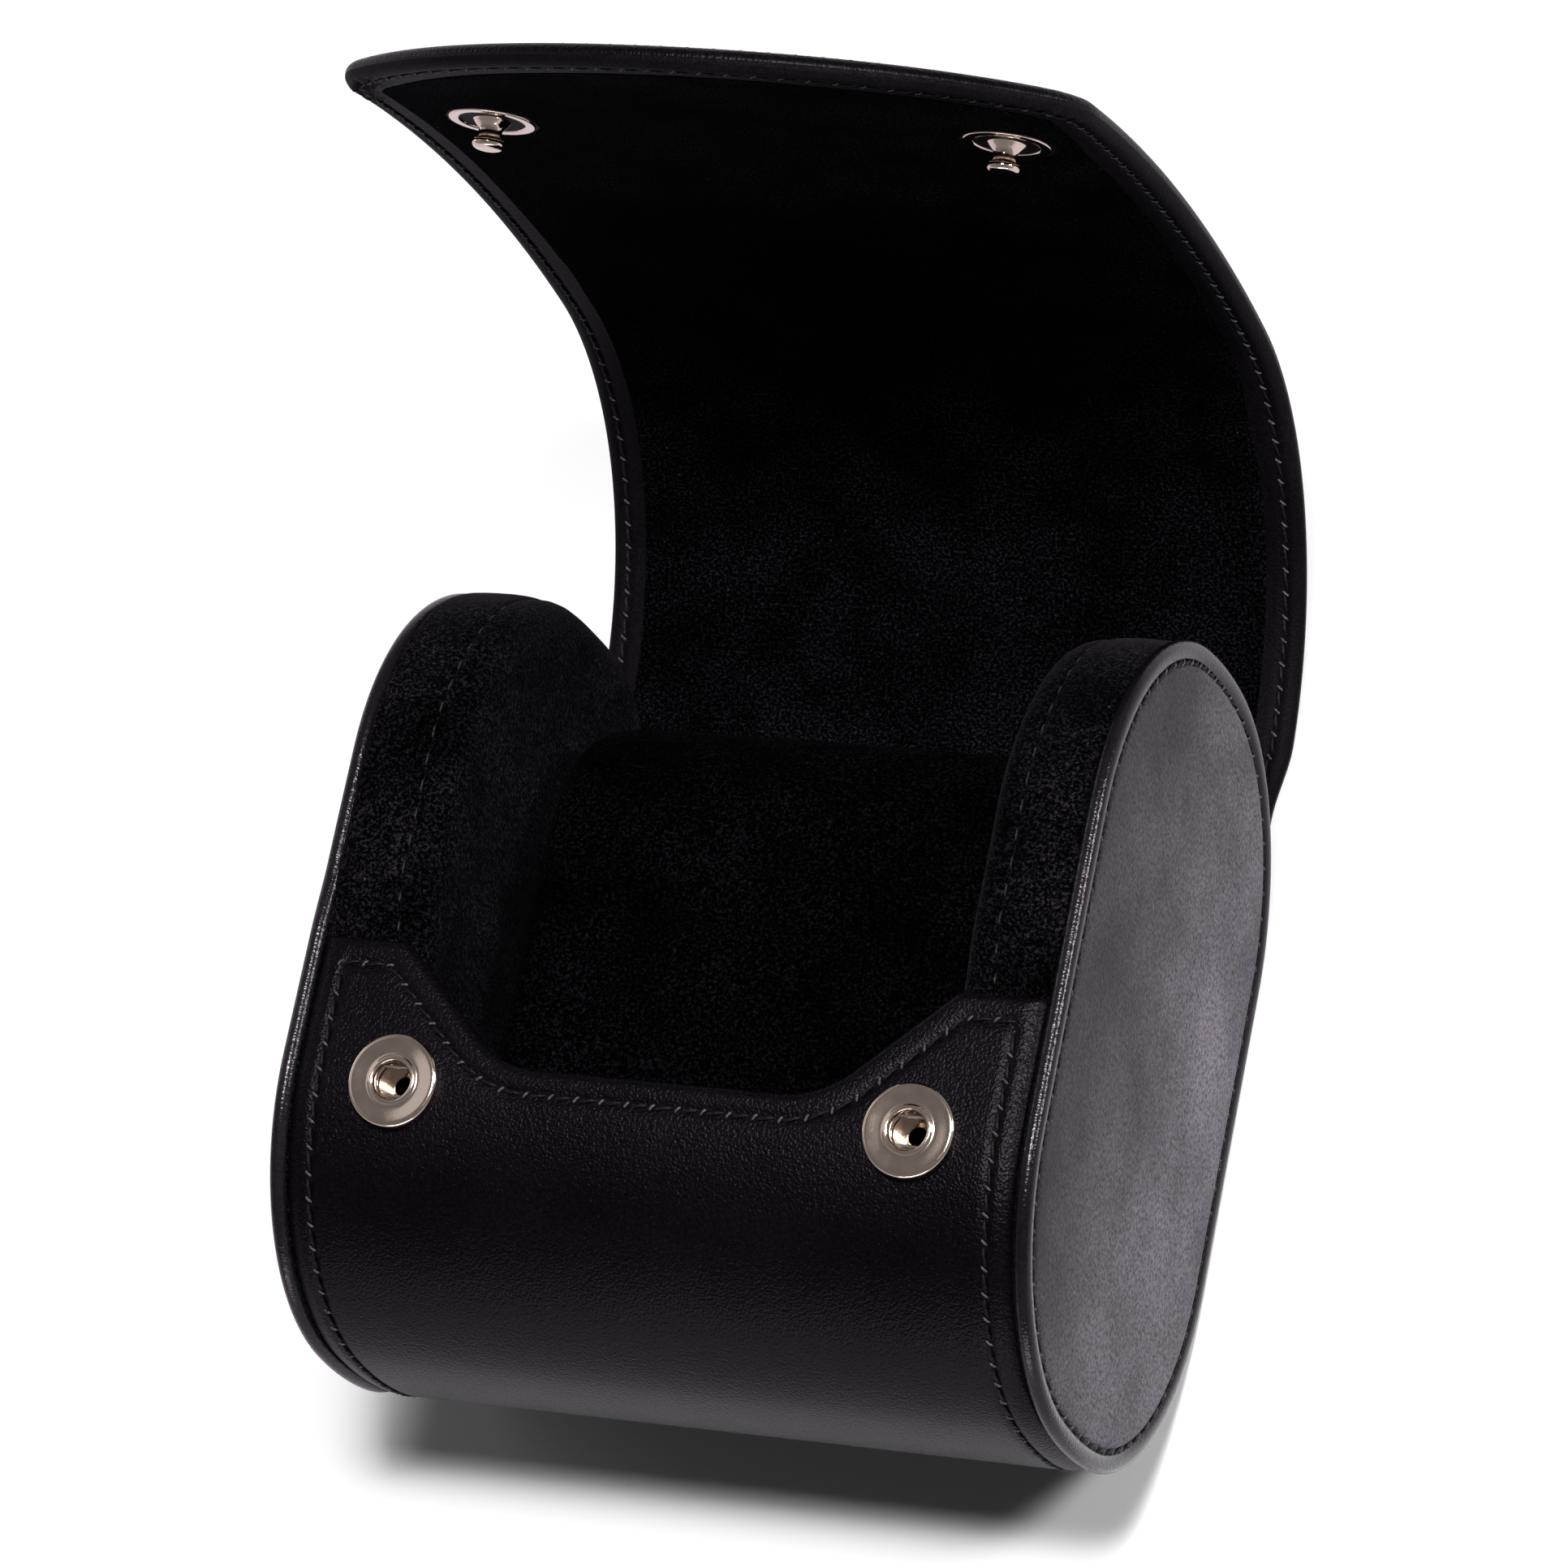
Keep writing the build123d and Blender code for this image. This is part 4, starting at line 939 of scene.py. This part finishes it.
def leather_seams():
    """Seams on the leather as (places and directions, side): the panel's, the wrap's and the lid's."""
    top = panel_edge(PANEL_SEAM)[1:]
    seams = [(even(whole(top), PITCH), 1)]
    side_s = np.linspace(top[0, 1], S_ROOT - 2, 400)
    for sign in (-1, 1):
        x = np.full_like(side_s, sign * (WRAP_HALF - PANEL_SEAM))
        seams.append((even(np.stack((x, side_s), -1), PITCH), 1))
    lid_s = np.linspace(S_ROOT + 3, CORNER_S, 300)[:-1]
    lid = np.stack((half_width(lid_s) - LID_SEAM, lid_s), -1)
    round_x = LID_HALF - LID_SEAM - np.linspace(0, 1, 40) ** 2 * 3.0
    front_x = np.concatenate((round_x, np.linspace(round_x[-1], 0, 160)[1:]))
    front = np.stack((front_x, flap_end(front_x, LID_SEAM)), -1)
    edge = even(whole(np.concatenate((lid, front))), PITCH)
    return seams + [(edge, 1), (edge, -1)]


# Each kind of stitch mark: label, shape, material, step ahead of the stitch's middle, lift and slant
MARKS = (("stitches", THREAD_SHAPE, THREAD, 0.0, -0.14, 9),
         # Needle holes are painted shade
         ("needle_holes", HOLE_SHAPE, HOLE, PITCH / 2, -0.2, 38),
         # The thread ends carry painted glints
         ("thread_ends", KNOT_SHAPE, PAINTED_GLINT_THREAD, PITCH / 2 - KNOT_BACK, -0.06, KNOT_SLANT))
seams = leather_seams()
for label, shape, material, ahead, lift, slant in MARKS:
    marks = []
    for (place, tangent), side in seams:
        place = place + unit(tangent) * ahead
        points, tangents, normals = on_leather(place, tangent, side, lift)
        marks.append(np.concatenate((points, slanted(tangents, normals, slant), normals, place[:, 1:]), 1))
    marks = np.concatenate(marks)
    for part, low, high, how in RANGES:
        chosen = marks[(marks[:, 9] >= low) & (marks[:, 9] < high)]
        if len(chosen):
            row = stitches(f"{part}_{label}", chosen[:, :3], chosen[:, 3:6], chosen[:, 6:9], shape, material)
            bend(row)

# Seams of the end caps: round each disc's face and round the velvet's edge
DISC_SEAM, DISC_SEAM_DEEP, DISC_SLANT, KNOT_LIFT = 2.7, 0.42, 12, 0.06
CAP_SEAM, CAP_SEAM_X, CAP_SEAM_LIFT = 3.58, 37.6, 3.0
FINE_AROUND = 1440
for side, sign in SIDES:
    oval = oval_points(DISC_SEAM, FINE_AROUND)[:, :2]
    place, tangent = even(np.concatenate((oval, oval[:1])), PITCH)
    zero = np.zeros(len(place))
    points = np.column_stack((zero + sign * (DISC_X - DISC_SEAM_DEEP), place))
    tangents = np.column_stack((zero, tangent))
    normals = np.column_stack((zero + sign, zero, zero))
    lying = slanted(tangents, normals, DISC_SLANT)
    row = stitches(f"{side}_disc_stitches", points, lying, normals, THREAD_SHAPE, THREAD)
    carried(row, "case", "matte_leather")
    # Thread ends of the disc's seam, painted pale as glints
    points = points + unit(tangents) * (PITCH / 2 - KNOT_BACK) + normals * KNOT_LIFT
    lying = slanted(tangents, normals, KNOT_SLANT)
    row = stitches(f"{side}_disc_thread_ends", points, lying, normals, KNOT_SHAPE, PAINTED_GLINT_THREAD)
    carried(row, "case", "matte_leather")
    oval = oval_points(CAP_SEAM, FINE_AROUND)
    oval[:, :2] += oval[:, 2:] * (CAP_SEAM_LIFT * open_head(oval))[:, None]
    place, tangent = even(np.concatenate((oval, oval[:1])), CAP_PITCH)
    zero = np.zeros(len(place))
    points = np.column_stack((zero + sign * CAP_SEAM_X, place[:, :2]))
    row = stitches(f"{side}_seam_stitches", points, np.column_stack((zero, tangent[:, :2])),
                   np.column_stack((zero, place[:, 2:])), SEAM_SHAPE, SEAM_THREAD)
    carried(row, "case", "velvet")
for helper in (THREAD_SHAPE, SEAM_SHAPE, KNOT_SHAPE, HOLE_SHAPE):
    bpy.data.objects.remove(helper)

# Pillow: a stuffed velvet roll, swelled by cloth pressure
PILLOW_LOW, PILLOW_HIGH = (np.array(corner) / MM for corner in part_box("pillow_cover"))
PILLOW_SHRINK, PILLOW_SWELL, PILLOW_VOXEL = 1.0, 1.3, 2.2
PILLOW_SQUARE = 3.4
PILLOW_STATIONS = [(1.0, 0.0), (1.0, 0.35), (1.0, 0.6), (0.995, 0.78), (0.98, 0.9), (0.95, 0.965),
                   (0.90, 0.992), (0.82, 1.0), (0.6, 1.0), (0.3, 1.0)]
CLOTH = {"quality": 6, "mass": 0.15, "use_pressure": True, "uniform_pressure_force": 4.0,
         "tension_stiffness": 15, "compression_stiffness": 15, "bending_stiffness": 0.4}
SETTLING_FRAMES = 20


def pillow_mesh():
    """Closed pillow: a round-cornered section, drawn in by (size, place) stations towards its ends."""
    middle, half = (PILLOW_HIGH + PILLOW_LOW) / 2, (PILLOW_HIGH - PILLOW_LOW) / 2 - PILLOW_SHRINK
    around = 160
    theta = np.linspace(0, 2 * math.pi, around, endpoint=False)
    ring = np.stack((np.cos(theta), np.sin(theta)), -1)
    ring = np.sign(ring) * np.abs(ring) ** (2 / PILLOW_SQUARE) * half[1:]
    stations = [(size, -x) for size, x in PILLOW_STATIONS[::-1]] + PILLOW_STATIONS[1:]
    points = []
    for size, x in stations:
        points.append(np.column_stack((np.full(around, half[0] * x), middle[1:] + ring * size)))
    return np.concatenate(points), closed_tube(len(stations), around)


def points_of(obj):
    """Points of a mesh object, in metres."""
    places = np.zeros(len(obj.data.vertices) * 3, np.float32)
    obj.data.vertices.foreach_get("co", places)
    return places.reshape(-1, 3)


pillow = mesh_object("pillow", *pillow_mesh(), [PILLOW_VELVET])
remesh = pillow.modifiers.new("even", "REMESH")
remesh.mode = "VOXEL"
remesh.voxel_size = PILLOW_VOXEL * MM
baked(pillow)
rest = points_of(pillow)
cloth = pillow.modifiers.new("stuffing", "CLOTH")
for key, value in CLOTH.items():
    setattr(cloth.settings, key, value)
cloth.settings.effector_weights.gravity = 0
for number in range(1, SETTLING_FRAMES + 1):
    bpy.context.scene.frame_set(number)
baked(pillow)
move = points_of(pillow) - rest
far = np.linalg.norm(move, axis=1, keepdims=True)
move *= np.minimum(1, PILLOW_SWELL * MM / np.maximum(far, 1e-9))
settled = np.clip(rest + move, PILLOW_LOW * MM, PILLOW_HIGH * MM)
pillow.data.vertices.foreach_set("co", settled.astype(np.float32).ravel())
bpy.context.scene.frame_set(1)
pillow.data.shade_smooth()
finer = pillow.modifiers.new("finer", "SUBSURF")
finer.levels = finer.render_levels = 1
baked(pillow)
carried(pillow, "case", "velvet", "pillow_cover", "pillow_core")

# Studio: pale floor, soft lamps, and a camera at the photograph's angle
FLOOR_HALF, FLOOR_Z, FLOOR_GLOW = 3000, -0.2, 0.85
corners = [(x * FLOOR_HALF, y * FLOOR_HALF, FLOOR_Z) for x, y in ((-1, -1), (1, -1), (1, 1), (-1, 1))]
floor = mesh_object("floor", corners, [(0, 1, 2, 3)])
floor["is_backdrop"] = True


def mixed(tree, share, first, second):
    """Two shaders mixed by a share of the second."""
    return put(tree, "ShaderNodeMixShader", [(0, share), (1, first), (2, second)]).outputs[0]


def glowing(tree, kind, strength=1.0, colour=(1, 1, 1, 1)):
    """Emission or background shader."""
    return put(tree, kind, [("Color", colour), ("Strength", strength)]).outputs[0]


def floor_material():
    """Pale floor that glows for the camera and for reflections, apart from the shadow below the case."""
    material, tree = blank("floor")
    path = tree.nodes.new("ShaderNodeLightPath").outputs
    seen = calculated(tree, "MAXIMUM", path["Is Camera Ray"], path["Is Glossy Ray"])
    seen = calculated(tree, "MAXIMUM", seen, path["Is Transmission Ray"])
    spot = put(tree, "ShaderNodeSeparateXYZ", [(0, object_place(tree))]).outputs
    aside = calculated(tree, "ABSOLUTE", spot["X"])
    past = ranged(tree, spot["Y"], (-0.04, 0.02), (0.0, FLOOR_GLOW), "SMOOTHSTEP")
    below = ranged(tree, spot["Y"], (-0.0585, -0.0505), (FLOOR_GLOW, 0.0), "SMOOTHSTEP")
    beside = ranged(tree, aside, (0.048, 0.068), (0.0, FLOOR_GLOW), "SMOOTHSTEP")
    pale = calculated(tree, "MAXIMUM", calculated(tree, "MAXIMUM", past, below), beside)
    plain = glowing(tree, "ShaderNodeEmission")
    reflected = glowing(tree, "ShaderNodeEmission", colour=(0.84, 0.76, 0.86, 1))
    glow = mixed(tree, path["Is Glossy Ray"], plain, reflected)
    diffuse = put(tree, "ShaderNodeBsdfDiffuse", [("Color", (0.9, 0.9, 0.9, 1))]).outputs[0]
    share = calculated(tree, "MULTIPLY", seen, pale)
    put(tree, "ShaderNodeOutputMaterial", [(0, mixed(tree, share, diffuse, glow))])
    return material


def studio_world():
    """White for the camera, a soft sky for reflections, and little of it for fill."""
    world, tree = blank("studio", "worlds")
    way = put(tree, "ShaderNodeTexCoord").outputs["Generated"]
    height = put(tree, "ShaderNodeSeparateXYZ", [(0, way)]).outputs["Z"]
    path = tree.nodes.new("ShaderNodeLightPath").outputs
    sky = ranged(tree, height, (0.15, 0.85), (0.28, 0.14))
    share = ranged(tree, path["Is Glossy Ray"], (0.0, 1.0), (0.12, 1.0))
    soft = glowing(tree, "ShaderNodeBackground", calculated(tree, "MULTIPLY", sky, share))
    seen = calculated(tree, "MAXIMUM", path["Is Camera Ray"], path["Is Transmission Ray"])
    seen = calculated(tree, "MAXIMUM", seen, calculated(tree, "MULTIPLY", path["Is Glossy Ray"], 0.05))
    white = glowing(tree, "ShaderNodeBackground")
    put(tree, "ShaderNodeOutputWorld", [(0, mixed(tree, seen, soft, white))])
    return world


def lamp(name, place, target, width, height, power):
    """Rectangular lamp, aimed at a point: metres and watts."""
    data = bpy.data.lights.new(name, "AREA")
    data.shape = "RECTANGLE"
    data.size, data.size_y = width, height
    data.energy = power
    obj = linked(name, data)
    obj.location = place
    obj.rotation_mode = "QUATERNION"
    obj.rotation_quaternion = (Vector(target) - Vector(place)).to_track_quat("-Z", "Y")


floor.data.materials.append(floor_material())
bpy.context.scene.world = studio_world()
lamp("key", (0.20, 0.085, 1.07), (0, 0.0, 0.03), 0.24, 0.24, 17.5)
lamp("side", (0.50, 0.17, 0.32), (0.05, 0, 0.03), 0.12, 0.12, 2.7)
lamp("front", (0.05, -0.95, 0.04), (0, -0.03, 0.03), 0.8, 0.07, 3.0)
lamp("left", (-0.95, 0.3, 0.2), (-0.05, 0, 0.03), 0.5, 0.3, 0.8)
lamp("card", (-0.72, 0.18, 0.80), (0, 0, 0.05), 0.5, 0.5, 0.4)

camera_data = bpy.data.cameras.new("camera")
camera_data.lens = 175.5
camera_data.sensor_width = 36.0
camera_data.clip_start, camera_data.clip_end = 0.05, 20
camera = linked("camera", camera_data)
right, up, back = (0.9257, 0.1928, -0.3254), (-0.0733, 0.9355, 0.3457), (0.3711, -0.2961, 0.8801)
place = (0.3381, -0.2444, 0.8491)
camera.matrix_world = Matrix([*zip(right, up, back, place), (0, 0, 0, 1)])
bpy.context.scene.camera = camera
bpy.context.scene.view_settings.view_transform = "Standard"

low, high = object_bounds()
